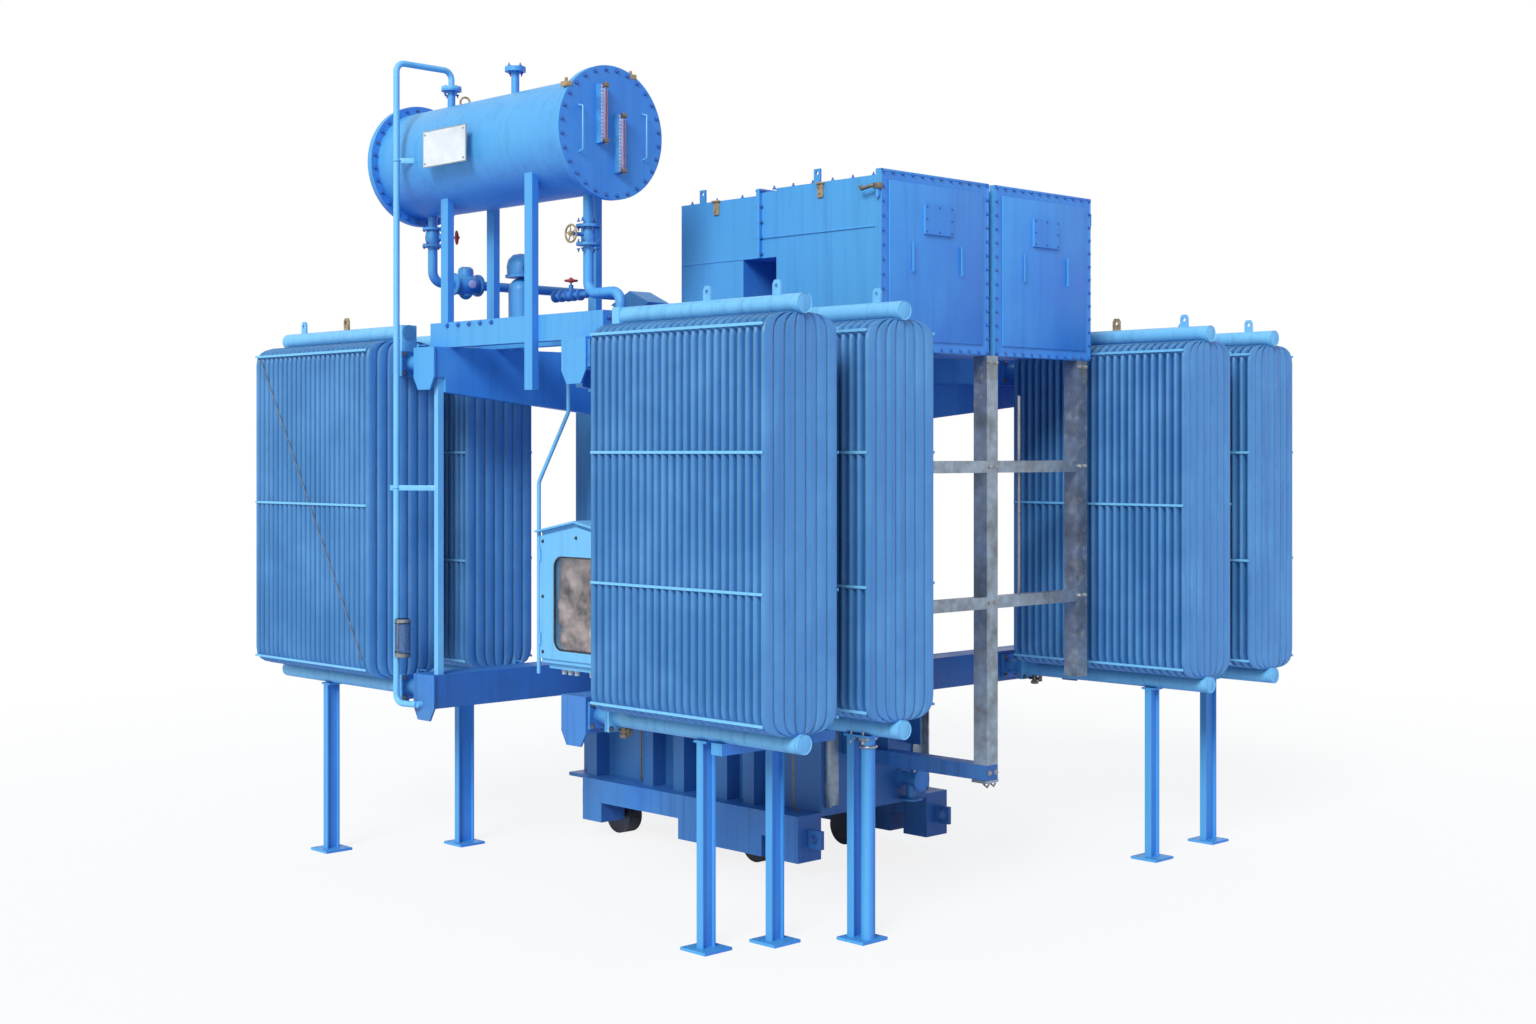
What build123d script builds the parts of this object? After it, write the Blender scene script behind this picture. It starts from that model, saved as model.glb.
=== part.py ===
from build123d import *
from math import sqrt, tan, radians
import os

# Oil-filled power transformer, millimetres, +Z up.
# The origin is on the floor, midway between the four radiator banks.
# +X points to the cable boxes, -Y to the side with the conservator.

# Radiators: eight stacks of pressed panels between round headers
panel_width = 520.0
panel_count = 24
panel_thickness = 14.0
panel_corner = 62.0
flute_count = 7
flute_pitch = 70.0
flute_width = 54.0
flute_height = 15.0
flute_neck_width = 9.0
flute_neck_pitch = 11.0
flute_fan_height = 170.0
flute_draft_deg = 12.0
stack_length = 1303.0
stack_start = 1074.0
row_inner_y = 1410.0
row_outer_y = 2142.0
header_radius = 50.0
header_flat_drop = 40.0
header_top_z = 3290.0
header_bottom_z = 1130.0
header_overhang = 26.0
header_flange_size = 150.0
header_flange_thickness = 16.0
drop_box_length = 60.0
drop_box_width = 110.0
header_lug_end_gap = 167.0
header_lug_spacing = 510.0
header_lug_sink = 10.0

# Tie straps that hold the panels of a stack at equal distance
strap_thickness = 5.0
strap_height = 14.0
strap_share_pair = (0.325, 0.675)
strap_share_single = (0.51,)

# Collectors: box pipes between the tank and the radiators
collector_inner_x = 620.0
collector_width = 200.0
collector_end_y = 2220.0
upper_collector_z = 3100.0
upper_collector_height = 180.0
lower_collector_height = 200.0
end_plate_thickness = 12.0
end_plate_rise = 75.0
end_plate_taper = 45.0
haunch_thickness = 60.0
haunch_tip_drop = 90.0
haunch_root_drop = 260.0
haunch_tip_inset = 80.0

# Butterfly valves between collector and radiator header
valve_flange_size = 150.0
valve_flange_thickness = 18.0
valve_body_radius = 48.0
valve_stem_radius = 12.0
valve_stem_height = 105.0

# Tie posts between the two collectors at the plain end
tie_post_size = 40.0

# Legs under the lower headers
foot_plate_size = 190.0
foot_plate_thickness = 16.0
foot_hole_radius = 11.0
foot_hole_spacing = 140.0
leg_depth = 90.0
leg_flange = 48.0
leg_web = 9.0
leg_wide_depth = 120.0
leg_round_radius = 38.0
near_outer_leg_x = 1690.0
near_inner_leg_x = 2060.0
pair_spacing = 85.0
near_middle_leg_x = 1822.0
far_outer_leg_x = 1905.0
far_inner_leg_x = 1970.0
plain_outer_leg_x = -1880.0
plain_inner_leg_x = -1450.0
cap_plate_thickness = 12.0
cross_bar_width = 80.0
cross_bar_height = 60.0

# Tank
tank_half_width = 480.0
tank_cable_end_x = 900.0
tank_plain_end_x = -1450.0
tank_plain_foot_x = -1360.0
tank_slope_top_z = 1000.0
tank_slope_foot_z = 560.0
tank_bottom_z = 390.0
tank_top_z = 3400.0
tank_wall = 12.0
rim_width = 70.0
rim_height = 40.0
floor_thickness = 24.0
floor_margin = 130.0
cover_thickness = 40.0
stiffener_width = 100.0
stiffener_depth = 110.0
stiffener_plate = 10.0
stiffener_top_z = 2700.0
stiffener_places = (-1140.0, -565.0, -264.0, 138.0, 380.0)
end_stiffener_places = (-300.0, 0.0, 300.0)

# Skids with jacking feet, and rollers on stub axles between them
skid_start_x = -1127.0
skid_overhang = 200.0
skid_width = 200.0
skid_foot_z = 110.0
skid_foot_length = 195.0
skid_middle_start_x = -170.0
skid_middle_end_x = 590.0
skid_beam_z = 240.0
roller_places = (-1030.0, 300.0)
roller_radius = 120.0
roller_length = 110.0
roller_gap = 25.0
roller_axle_radius = 28.0
tow_lug_length = 110.0
tow_lug_height = 110.0
tow_lug_thickness = 24.0
tow_lug_hole_radius = 28.0
tow_lug_z = 250.0

# Cable boxes at the cable end, one on each side of the middle
box_gap_half = 26.0
box_flange_outer_y = 961.0
box_flange_bottom_z = 3124.0
box_flange_top_z = 4128.0
box_flange_proud = 28.0
box_flange_thickness = 25.0
box_front_x = 1850.0
box_cover_thickness = 14.0
box_back_x = 976.0
duct_joint_x = 842.0
duct_bottom_z = 3700.0
duct_top_z = 4085.0
duct_flange_proud = 22.0
duct_flange_thickness = 14.0
bushing_box_front_x = 697.0
bushing_box_back_x = 147.0
bushing_box_top_z = 4070.0
inspection_plate_width = 245.0
inspection_plate_height = 170.0
inspection_plate_thickness = 24.0
inspection_plate_z = 3875.0
handle_drop = 135.0
handle_height = 170.0
handle_thickness = 12.0
handle_spread = 420.0

# Steel frame under the cable boxes
frame_post_size = 100.0
frame_post_plate = 8.0
frame_post_x = 1780.0
frame_side_post_y = 870.0
frame_side_post_foot_z = 1180.0
frame_arm_z = 640.0
frame_arm_height = 90.0
frame_rail_height = 70.0
frame_rail_places = (1645.0, 2440.0)

# Conservator: the oil expansion vessel above the near side
vessel_y = -1900.0
vessel_z = 4353.0
vessel_start_x = -1235.0
vessel_end_x = 620.0
vessel_radius = 327.0
vessel_wall = 8.0
vessel_flange_radius = 376.0
vessel_flange_thickness = 24.0
vessel_cover_thickness = 18.0
vessel_seat_gap = 0.2
beam_spread = 340.0
beam_width = 80.0
beam_height = 150.0
vessel_leg_width = 72.0
vessel_leg_depth = 45.0
vessel_leg_a_x = -700.0
vessel_leg_c_x = 210.0
vessel_leg_c_foot_z = 2915.0
plate_width = 430.0
plate_height = 215.0
plate_thickness = 4.0
plate_bracket_depth = 60.0
plate_x = -420.0

# Nozzles on top of the conservator
nozzle_radius = 24.0
nozzle_flange_radius = 62.0
nozzle_flange_thickness = 14.0
filler_x = -250.0
filler_neck_height = 165.0
breather_x = -900.0
breather_neck_height = 120.0

# Oil level gauges on the vessel's cable-end cover
gauge_height = 330.0
gauge_width = 46.0
gauge_depth = 38.0
gauge_places = (-85.0, 45.0)
gauge_lift_places = (95.0, -60.0)

# Breather pipe and its drying jar
breather_pipe_radius = 19.0
breather_rise = 110.0
breather_drop_y = -2300.0
breather_foot_z = 1050.0
breather_end_x = -740.0
breather_end_y = -2265.0
breather_bend = 55.0
jar_radius = 48.0
jar_height = 230.0
jar_z = 1330.0

# Oil pipes from the conservator
pipe_radius = 30.0
pipe_flange_radius = 70.0
pipe_flange_thickness = 16.0
pipe_bend = 70.0
relay_pipe_x = -1100.0
relay_pipe_z = 3620.0
relay_pipe_end_y = -350.0
relay_y = -1650.0
relay_length = 200.0
relay_width = 150.0
relay_height = 190.0
filling_pipe_x = 435.0
filling_pipe_z = 3460.0
filling_pipe_end_x = 720.0
filling_valve_z = 3795.0
valve_gap = 120.0
handwheel_radius = 55.0
handwheel_thickness = 12.0
handwheel_reach = 120.0

# Relief riser on the plain-end collector
riser_y = -1500.0
riser_radius = 80.0
riser_height = 460.0
riser_neck_radius = 45.0

# Gabled instrument hood on the tank cover
hood_x = -820.0
hood_inset = 40.0
hood_length = 330.0
hood_width = 180.0
hood_wall_height = 130.0
hood_gable_height = 60.0
hood_overhang = 22.0
hood_eave_thickness = 10.0

# Control cabinet in front of the tank
cabinet_start_x = -207.0
cabinet_end_x = 482.0
cabinet_front_y = -1750.0
cabinet_depth = 300.0
cabinet_bottom_z = 1307.0
cabinet_top_z = 2085.0
cabinet_roof_rise = 62.0
cabinet_roof_overhang = 24.0
cabinet_roof_thickness = 12.0
cabinet_door_inset = 26.0
cabinet_door_thickness = 16.0
window_width = 430.0
window_height = 560.0
window_corner = 70.0
window_drop = 30.0
window_glass_thickness = 5.0
window_pocket_depth = 60.0
cabinet_arm_size = 60.0
cabinet_arm_z = 1700.0
gland_plate_height = 36.0

# Conduit from the conservator beam to the cabinet
conduit_radius = 12.0
conduit_top_x = 40.0
conduit_upper_z = 2797.0
conduit_lower_z = 2381.0
conduit_foot_z = 1236.0
conduit_bend = 60.0

# Drain valve at the cable end of the tank
drain_y = 250.0
drain_z = 520.0
drain_reach = 150.0

# Lifting lugs
lug_width = 50.0
lug_height = 80.0
lug_thickness = 12.0
lug_hole_radius = 12.0
cable_lug_x = 1300.0
bushing_lug_x = 330.0

cut_overrun = 5.0
seat_gap = 0.2

stack_end = stack_start + stack_length
header_lug_outer_x = stack_end - header_lug_end_gap
header_lug_places = (header_lug_outer_x - header_lug_spacing, header_lug_outer_x)
panel_pitch = (stack_length - panel_thickness) / (panel_count - 1)
panel_top_z = header_top_z - header_flat_drop
panel_bottom_z = header_bottom_z + header_flat_drop
collector_outer_x = collector_inner_x + collector_width
header_start = stack_start - drop_box_length - header_flange_thickness
upper_collector_top = upper_collector_z + upper_collector_height / 2
upper_collector_bottom = upper_collector_z - upper_collector_height / 2
cover_top_z = tank_top_z + cover_thickness
beam_top_z = upper_collector_top + beam_height
box_body_inner_y = box_gap_half + box_flange_proud
box_body_outer_y = box_flange_outer_y - box_flange_proud
box_body_bottom_z = box_flange_bottom_z + box_flange_proud
box_body_top_z = box_flange_top_z - box_flange_proud
box_cover_x = box_front_x - inspection_plate_thickness
vessel_top_z = vessel_z + vessel_radius
filler_top_z = vessel_top_z + filler_neck_height
breather_flange_z = vessel_top_z + breather_neck_height
breather_top_z = breather_flange_z + breather_rise
hood_y = -tank_half_width + hood_inset
roller_z = roller_radius
skid_outer_y = tank_half_width + skid_overhang
skid_inner_y = skid_outer_y - skid_width
sides = (-1, 1)


def block(x_pair, y_pair, z_pair):
    """A box between two places on each axis."""
    size = [abs(pair[1] - pair[0]) for pair in (x_pair, y_pair, z_pair)]
    middle = [(pair[0] + pair[1]) / 2 for pair in (x_pair, y_pair, z_pair)]
    return Pos(*middle) * Box(*size)


def rod(start, end, radius):
    """A round bar between two points."""
    axis = Vector(*end) - Vector(*start)
    plane = Plane(origin=start, z_dir=axis)
    return extrude(plane * Circle(radius), amount=axis.length)


def bent_pipe(points, radius, bend):
    """A round pipe along straight runs with equal bends."""
    path = FilletPolyline(*points, radius=bend)
    section = Plane(origin=path @ 0, z_dir=path % 0) * Circle(radius)
    return sweep(section, path=path)


def side_profile(points, y_pair):
    """An outline in X and Z, carried along Y."""
    face = Plane.XZ * make_face(Polyline(*points, close=True))
    depth = abs(y_pair[1] - y_pair[0])
    return Pos(0, max(y_pair), 0) * extrude(face, amount=depth)


def end_profile(points, x_pair):
    """An outline in Y and Z, carried along X."""
    face = Plane.YZ * make_face(Polyline(*points, close=True))
    depth = abs(x_pair[1] - x_pair[0])
    return Pos(min(x_pair), 0, 0) * extrude(face, amount=depth)


def lug(x, y, z):
    """A small lifting eye on a face at height z."""
    half = lug_width / 2
    body = block((x - half, x + half), (y - lug_thickness / 2, y + lug_thickness / 2), (z, z + lug_height))
    eye_z = z + lug_height - half
    return body - rod((x, y - lug_thickness, eye_z), (x, y + lug_thickness, eye_z), lug_hole_radius)


def panel_outline():
    """Half the width each way, with cut corners."""
    half = panel_width / 2
    shoulder = half - panel_corner
    low = panel_bottom_z
    high = panel_top_z
    return [
        (-shoulder, low), (shoulder, low), (half, low + panel_corner), (half, high - panel_corner),
        (shoulder, high), (-shoulder, high), (-half, high - panel_corner), (-half, low + panel_corner),
    ]


def flute_outline(index):
    """One pressed flute, which narrows and runs in towards both headers."""
    offset = index - (flute_count - 1) / 2
    straight = offset * flute_pitch
    neck = offset * flute_neck_pitch
    wide = flute_width / 2
    narrow = flute_neck_width / 2
    low = panel_bottom_z
    high = panel_top_z
    return [
        (neck - narrow, low), (neck + narrow, low),
        (straight + wide, low + flute_fan_height), (straight + wide, high - flute_fan_height),
        (neck + narrow, high), (neck - narrow, high),
        (straight - wide, high - flute_fan_height), (straight - wide, low + flute_fan_height),
    ]


def header(z, flat_side):
    """A round header with a flat along the panels."""
    pipe = rod((header_start, 0, z), (stack_end + header_overhang, 0, z), header_radius)
    flat_z = z + flat_side * header_flat_drop
    beyond = z + flat_side * 2 * header_radius
    span = (header_start - cut_overrun, stack_end + header_overhang + cut_overrun)
    across = (-2 * header_radius, 2 * header_radius)
    return pipe - block(span, across, (flat_z, beyond))


def radiator():
    """One radiator for the cable end, centred on Y, with the valve seats towards the tank."""
    panel = end_profile(panel_outline(), (0, panel_thickness))
    body = header(header_top_z, -1) + header(header_bottom_z, 1)
    stack = [Pos(stack_start + i * panel_pitch, 0, 0) * panel for i in range(panel_count)]
    outer = Plane.YZ.offset(stack_end)
    flutes = []
    for index in range(flute_count):
        face = outer * make_face(Polyline(*flute_outline(index), close=True))
        flutes.append(extrude(face, amount=flute_height, taper=flute_draft_deg))
    half_flange = header_flange_size / 2
    seat = (header_start - header_flange_thickness, header_start)
    drop_low = upper_collector_z - drop_box_width / 2
    drop = block((header_start, header_start + drop_box_length),
                 (-drop_box_width / 2, drop_box_width / 2),
                 (drop_low, header_top_z + header_radius))
    fittings = [
        drop,
        *[lug(x, 0, header_top_z + header_radius - header_lug_sink) for x in header_lug_places],
        block(seat, (-half_flange, half_flange),
              (upper_collector_z - half_flange, upper_collector_z + half_flange)),
        block(seat, (-half_flange, half_flange),
              (header_bottom_z - half_flange, header_bottom_z + half_flange)),
    ]
    return body.fuse(*stack, *flutes, *fittings)


def straps(shares):
    """Flat ties along both edges of one stack."""
    low = panel_bottom_z + panel_corner
    high = panel_top_z - panel_corner
    heights = [low, high - strap_height]
    heights += [low + share * (high - low) for share in shares]
    solids = []
    for side in sides:
        edge = side * panel_width / 2
        for z in heights:
            solids.append(block((stack_start, stack_end), (edge, edge + side * strap_thickness),
                                (z, z + strap_height)))
    return solids


def collector_plate(z, height):
    """The end plate of a collector, taller than the box and tapered at its foot."""
    low = z - height / 2 - end_plate_rise
    high = z + height / 2
    x_pair = (collector_inner_x - end_plate_thickness, collector_outer_x)
    outline = [
        (x_pair[0], low + end_plate_rise), (x_pair[0] + end_plate_taper, low),
        (x_pair[1] - end_plate_taper, low), (x_pair[1], low + end_plate_rise),
        (x_pair[1], high), (x_pair[0], high),
    ]
    return side_profile(outline, (-collector_end_y - end_plate_thickness, -collector_end_y))


def upper_collector():
    """An upper box pipe on the near side, with a haunch that deepens towards the tank."""
    box = block((collector_inner_x, collector_outer_x), (-collector_end_y, -tank_half_width),
                (upper_collector_bottom, upper_collector_top))
    tip = -collector_end_y + haunch_tip_inset
    outline = [
        (tip, upper_collector_bottom), (tip, upper_collector_bottom - haunch_tip_drop),
        (-tank_half_width, upper_collector_bottom - haunch_root_drop),
        (-tank_half_width, upper_collector_bottom),
    ]
    haunch = end_profile(outline, (collector_inner_x, collector_inner_x + haunch_thickness))
    return box + haunch + collector_plate(upper_collector_z, upper_collector_height)


def lower_collector():
    """A lower box pipe on the near side."""
    half = lower_collector_height / 2
    box = block((collector_inner_x, collector_outer_x), (-collector_end_y, -tank_half_width),
                (header_bottom_z - half, header_bottom_z + half))
    return box + collector_plate(header_bottom_z, lower_collector_height)


def butterfly_valve(y, z):
    """A short valve between collector and header, with a stem for its lever."""
    start = collector_outer_x
    end = header_start - header_flange_thickness
    half = valve_flange_size / 2
    body = rod((start, y, z), (end, y, z), valve_body_radius)
    for x_pair in ((start, start + valve_flange_thickness), (end - valve_flange_thickness, end)):
        body += block(x_pair, (y - half, y + half), (z - half, z + half))
    middle = (start + end) / 2
    stem = rod((middle, y, z), (middle, y, z + valve_stem_height), valve_stem_radius)
    return body + stem


def foot_plate(x, y):
    """A square foot plate with four anchor holes."""
    half = foot_plate_size / 2
    plate = block((x - half, x + half), (y - half, y + half), (0, foot_plate_thickness))
    reach = foot_hole_spacing / 2
    for dx in (-reach, reach):
        for dy in (-reach, reach):
            start = (x + dx, y + dy, -cut_overrun)
            end = (x + dx, y + dy, foot_plate_thickness + cut_overrun)
            plate -= rod(start, end, foot_hole_radius)
    return plate


def leg(x, y, top_z, depth, foot_shift=0.0):
    """An I-section leg between its foot plate and a cap plate."""
    body_top = top_z - cap_plate_thickness
    z_pair = (foot_plate_thickness, body_top)
    section = block((x - leg_web / 2, x + leg_web / 2), (y - depth / 2, y + depth / 2), z_pair)
    for side in sides:
        edge = y + side * depth / 2
        section += block((x - leg_flange / 2, x + leg_flange / 2), (edge - side * leg_web, edge), z_pair)
    cap = block((x - leg_flange, x + leg_flange), (y - depth / 2, y + depth / 2), (body_top, top_z))
    return foot_plate(x + foot_shift, y) + section + cap


def round_leg(x, y, top_z):
    """A tubular leg, solid here, that shares the foot plate of the leg beside it."""
    half = leg_flange
    body = rod((x, y, foot_plate_thickness), (x, y, top_z - cap_plate_thickness), leg_round_radius)
    cap = block((x - half, x + half), (y - half, y + half), (top_z - cap_plate_thickness, top_z))
    return body + cap


def leg_pair(x, y, top_z):
    """An I-section leg and a tubular one on a shared foot plate."""
    return leg(x, y, top_z, leg_depth, pair_spacing / 2) + round_leg(x + pair_spacing, y, top_z)


def cross_leg(x, y_pair, top_z):
    """A leg whose head is a bar under two headers."""
    middle = sum(y_pair) / 2
    bar = block((x - cross_bar_width / 2, x + cross_bar_width / 2), y_pair, (top_z - cross_bar_height, top_z))
    return leg(x, middle, top_z - cross_bar_height, leg_depth) + bar


def tank_side():
    """The near long wall with its rim and stiffeners."""
    y_pair = (-tank_half_width, -tank_half_width + tank_wall)
    outline = [
        (tank_plain_foot_x, tank_bottom_z), (tank_cable_end_x, tank_bottom_z),
        (tank_cable_end_x, tank_top_z), (tank_plain_end_x, tank_top_z),
        (tank_plain_end_x, tank_slope_top_z), (tank_plain_foot_x, tank_slope_foot_z),
    ]
    wall = side_profile(outline, y_pair)
    rim = block((tank_plain_end_x - rim_width, tank_cable_end_x + rim_width),
                (-tank_half_width - rim_width, -tank_half_width),
                (tank_top_z - rim_height, tank_top_z))
    ribs = []
    for x in stiffener_places:
        outer = (-tank_half_width - stiffener_depth, -tank_half_width - stiffener_depth + stiffener_plate)
        z_pair = (tank_bottom_z, stiffener_top_z)
        x_pair = (x - stiffener_width / 2, x + stiffener_width / 2)
        ribs.append(block(x_pair, outer, z_pair))
        for side in sides:
            edge = x + side * stiffener_width / 2
            ribs.append(block((edge, edge - side * stiffener_plate),
                              (-tank_half_width - stiffener_depth, -tank_half_width), z_pair))
    return wall.fuse(rim, *ribs)


def tank_cable_end():
    """The wall towards the cable boxes."""
    inner = tank_half_width - tank_wall
    wall = block((tank_cable_end_x - tank_wall, tank_cable_end_x), (-inner, inner),
                 (tank_bottom_z, tank_top_z))
    rim = block((tank_cable_end_x, tank_cable_end_x + rim_width), (-tank_half_width, tank_half_width),
                (tank_top_z - rim_height, tank_top_z))
    ribs = []
    for y in end_stiffener_places:
        ribs.append(block((tank_cable_end_x, tank_cable_end_x + stiffener_depth),
                          (y - stiffener_plate / 2, y + stiffener_plate / 2),
                          (frame_arm_z + frame_arm_height, stiffener_top_z)))
    return wall.fuse(rim, *ribs)


def tank_plain_end():
    """The opposite wall, folded in towards the floor."""
    inner = tank_half_width - tank_wall
    outline = [
        (tank_plain_foot_x, tank_bottom_z), (tank_plain_foot_x, tank_slope_foot_z),
        (tank_plain_end_x, tank_slope_top_z), (tank_plain_end_x, tank_top_z),
        (tank_plain_end_x + tank_wall, tank_top_z), (tank_plain_end_x + tank_wall, tank_slope_top_z),
        (tank_plain_foot_x + tank_wall, tank_slope_foot_z), (tank_plain_foot_x + tank_wall, tank_bottom_z),
    ]
    wall = side_profile(outline, (-inner, inner))
    rim = block((tank_plain_end_x - rim_width, tank_plain_end_x), (-tank_half_width, tank_half_width),
                (tank_top_z - rim_height, tank_top_z))
    return wall + rim


def skid():
    """The near skid: a beam with a jacking foot at both ends and a long one in the middle."""
    start = skid_start_x
    end = tank_cable_end_x
    top = tank_bottom_z - floor_thickness
    outline = [
        (start, top), (start, skid_foot_z),
        (start + skid_foot_length, skid_foot_z), (start + skid_foot_length, skid_beam_z),
        (skid_middle_start_x, skid_beam_z), (skid_middle_start_x, skid_foot_z),
        (skid_middle_end_x, skid_foot_z), (skid_middle_end_x, skid_beam_z),
        (end - skid_foot_length, skid_beam_z), (end - skid_foot_length, skid_foot_z),
        (end, skid_foot_z), (end, top),
    ]
    body = side_profile(outline, (-skid_outer_y, -skid_inner_y))
    return body.fuse(*tow_lugs())


def rollers():
    """Four rollers on stub axles that stand out from the inner faces of the skids' feet."""
    solids = []
    for side in sides:
        outer = side * (skid_inner_y - roller_gap)
        inner = side * (skid_inner_y - roller_gap - roller_length)
        for x in roller_places:
            wheel = rod((x, inner, roller_z), (x, outer, roller_z), roller_radius)
            axle = rod((x, outer, roller_z + roller_axle_radius),
                       (x, side * skid_inner_y, roller_z + roller_axle_radius), roller_axle_radius)
            solids.append(wheel + axle)
    return solids


def tow_lugs():
    """Hauling eyes at both ends of the near skid."""
    solids = []
    y = -(skid_outer_y - skid_width / 2)
    for x, way in ((skid_start_x, -1), (tank_cable_end_x, 1)):
        tip = x + way * tow_lug_length
        half = tow_lug_height / 2
        plate = block((x, tip), (y - tow_lug_thickness / 2, y + tow_lug_thickness / 2),
                      (tow_lug_z - half, tow_lug_z + half))
        eye_x = tip - way * half
        hole = rod((eye_x, y - tow_lug_thickness, tow_lug_z), (eye_x, y + tow_lug_thickness, tow_lug_z),
                   tow_lug_hole_radius)
        solids.append(plate - hole)
    return solids


def cable_box():
    """The far cable box with its front flange and its half of the duct."""
    y_pair = (box_body_inner_y, box_body_outer_y)
    flange_x = box_cover_x - box_cover_thickness
    body = block((box_back_x, flange_x), y_pair, (box_body_bottom_z, box_body_top_z))
    duct = block((duct_joint_x, box_back_x), y_pair, (duct_bottom_z, duct_top_z))
    flange = block((flange_x - box_flange_thickness, flange_x), (box_gap_half, box_flange_outer_y),
                   (box_flange_bottom_z, box_flange_top_z))
    eye = lug(cable_lug_x, box_body_outer_y - lug_thickness, box_body_top_z)
    return body + duct + flange + duct_flange(duct_joint_x, duct_joint_x + duct_flange_thickness) + eye


def duct_flange(start, end):
    """A proud frame round the duct at its joint."""
    return block((start, end), (box_body_inner_y - duct_flange_proud, box_body_outer_y + duct_flange_proud),
                 (duct_bottom_z, duct_top_z + duct_flange_proud))


def bushing_box():
    """The far box over the bushings, on the tank cover, with its half of the duct."""
    y_pair = (box_body_inner_y, box_body_outer_y)
    body = block((bushing_box_back_x, bushing_box_front_x), y_pair, (cover_top_z, bushing_box_top_z))
    duct = block((bushing_box_front_x, duct_joint_x), y_pair, (duct_bottom_z, bushing_box_top_z))
    eye = lug(bushing_lug_x, box_body_outer_y - lug_thickness, bushing_box_top_z)
    return body + duct + duct_flange(duct_joint_x - duct_flange_thickness, duct_joint_x) + eye


def box_cover():
    """The far front cover with its inspection plate and two handles."""
    middle = (box_body_inner_y + box_body_outer_y) / 2
    face_x = box_cover_x
    cover = block((face_x - box_cover_thickness, face_x), (box_gap_half, box_flange_outer_y),
                  (box_flange_bottom_z, box_flange_top_z))
    half = inspection_plate_width / 2
    plate = block((face_x, box_front_x), (middle - half, middle + half),
                  (inspection_plate_z - inspection_plate_height / 2,
                   inspection_plate_z + inspection_plate_height / 2))
    return cover.fuse(plate, *box_handles(middle))


def box_handles(middle):
    """Two square pull handles on the front cover."""
    high = inspection_plate_z - handle_drop
    low = high - handle_height
    inner = box_front_x - handle_thickness
    solids = []
    for shift in (-handle_spread / 2, handle_spread / 2):
        y_pair = (middle + shift, middle + shift + handle_thickness)
        grip = block((inner, box_front_x), y_pair, (low, high))
        for z in (low, high - handle_thickness):
            grip += block((box_cover_x, inner), y_pair, (z, z + handle_thickness))
        solids.append(grip)
    return solids


def channel_post(y, foot_z):
    """A channel that stands under the boxes, open towards the tank."""
    half = frame_post_size / 2
    z_pair = (foot_z, box_flange_bottom_z)
    front = frame_post_x + half
    web = block((front - frame_post_plate, front), (y - half, y + half), z_pair)
    post = web
    for side in sides:
        edge = y + side * half
        post += block((frame_post_x - half, front), (edge - side * frame_post_plate, edge), z_pair)
    return post


def frame_arm():
    """The arm from the tank that carries the middle post."""
    half = frame_post_size / 2
    end = frame_post_x + half
    return block((tank_cable_end_x, end), (-half, half),
                 (frame_arm_z, frame_arm_z + frame_arm_height))


def frame_rails():
    """Angle rails between the posts, at two heights."""
    half = frame_post_size / 2
    front = frame_post_x + half
    solids = []
    for side in sides:
        y_pair = (side * half, side * (frame_side_post_y - half))
        for z in frame_rail_places:
            rail = block((front - frame_post_plate, front), y_pair, (z, z + frame_rail_height))
            ledge_z = z + frame_rail_height - frame_post_plate
            rail += block((front - frame_rail_height, front), y_pair, (ledge_z, ledge_z + frame_post_plate))
            solids.append(rail)
    return solids


def vessel_shell():
    """The conservator's round wall with a flange at each end."""
    outer = rod((vessel_start_x, vessel_y, vessel_z), (vessel_end_x, vessel_y, vessel_z), vessel_radius)
    flange = outer
    for x_pair in ((vessel_start_x, vessel_start_x + vessel_flange_thickness),
                   (vessel_end_x - vessel_flange_thickness, vessel_end_x)):
        flange += rod((x_pair[0], vessel_y, vessel_z), (x_pair[1], vessel_y, vessel_z), vessel_flange_radius)
    inside = rod((vessel_start_x - cut_overrun, vessel_y, vessel_z),
                 (vessel_end_x + cut_overrun, vessel_y, vessel_z), vessel_radius - vessel_wall)
    return flange - inside


def vessel_cover(x, way):
    """A bolted end cover of the conservator."""
    end = x + way * vessel_cover_thickness
    return rod((x, vessel_y, vessel_z), (end, vessel_y, vessel_z), vessel_flange_radius)


def seat_cutter():
    """The space of the vessel, a little larger than its wall."""
    return rod((vessel_start_x, vessel_y, vessel_z), (vessel_end_x, vessel_y, vessel_z),
               vessel_radius + vessel_seat_gap)


def vessel_beams():
    """Two beams on the upper collectors that carry the conservator."""
    solids = []
    for side in sides:
        y = vessel_y + side * beam_spread / 2
        solids.append(block((-collector_outer_x, collector_outer_x), (y - beam_width / 2, y + beam_width / 2),
                            (upper_collector_top, beam_top_z)))
    return solids


def vessel_legs():
    """Four legs cut to the vessel's round wall: two on the beams, two against the outer faces."""
    solids = []
    half = vessel_leg_width / 2
    for side in sides:
        y = vessel_y + side * beam_spread / 2
        standing = block((vessel_leg_a_x - half, vessel_leg_a_x + half),
                         (y - vessel_leg_depth / 2, y + vessel_leg_depth / 2), (beam_top_z, vessel_z))
        face = y + side * beam_width / 2
        hung = block((vessel_leg_c_x - half, vessel_leg_c_x + half),
                     (face, face + side * vessel_leg_depth), (vessel_leg_c_foot_z, vessel_z))
        for body in (standing, hung):
            pieces = (body - seat_cutter()).solids()
            solids.append(pieces.sort_by(Axis.Z)[0])
    return solids


def data_plate():
    """A bare plate on a bracket at the vessel's near side."""
    half_w = plate_width / 2
    half_h = plate_height / 2
    front = vessel_y - vessel_radius - plate_bracket_depth
    return block((plate_x - half_w, plate_x + half_w), (front - plate_thickness, front),
                 (vessel_z - half_h, vessel_z + half_h))


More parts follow.
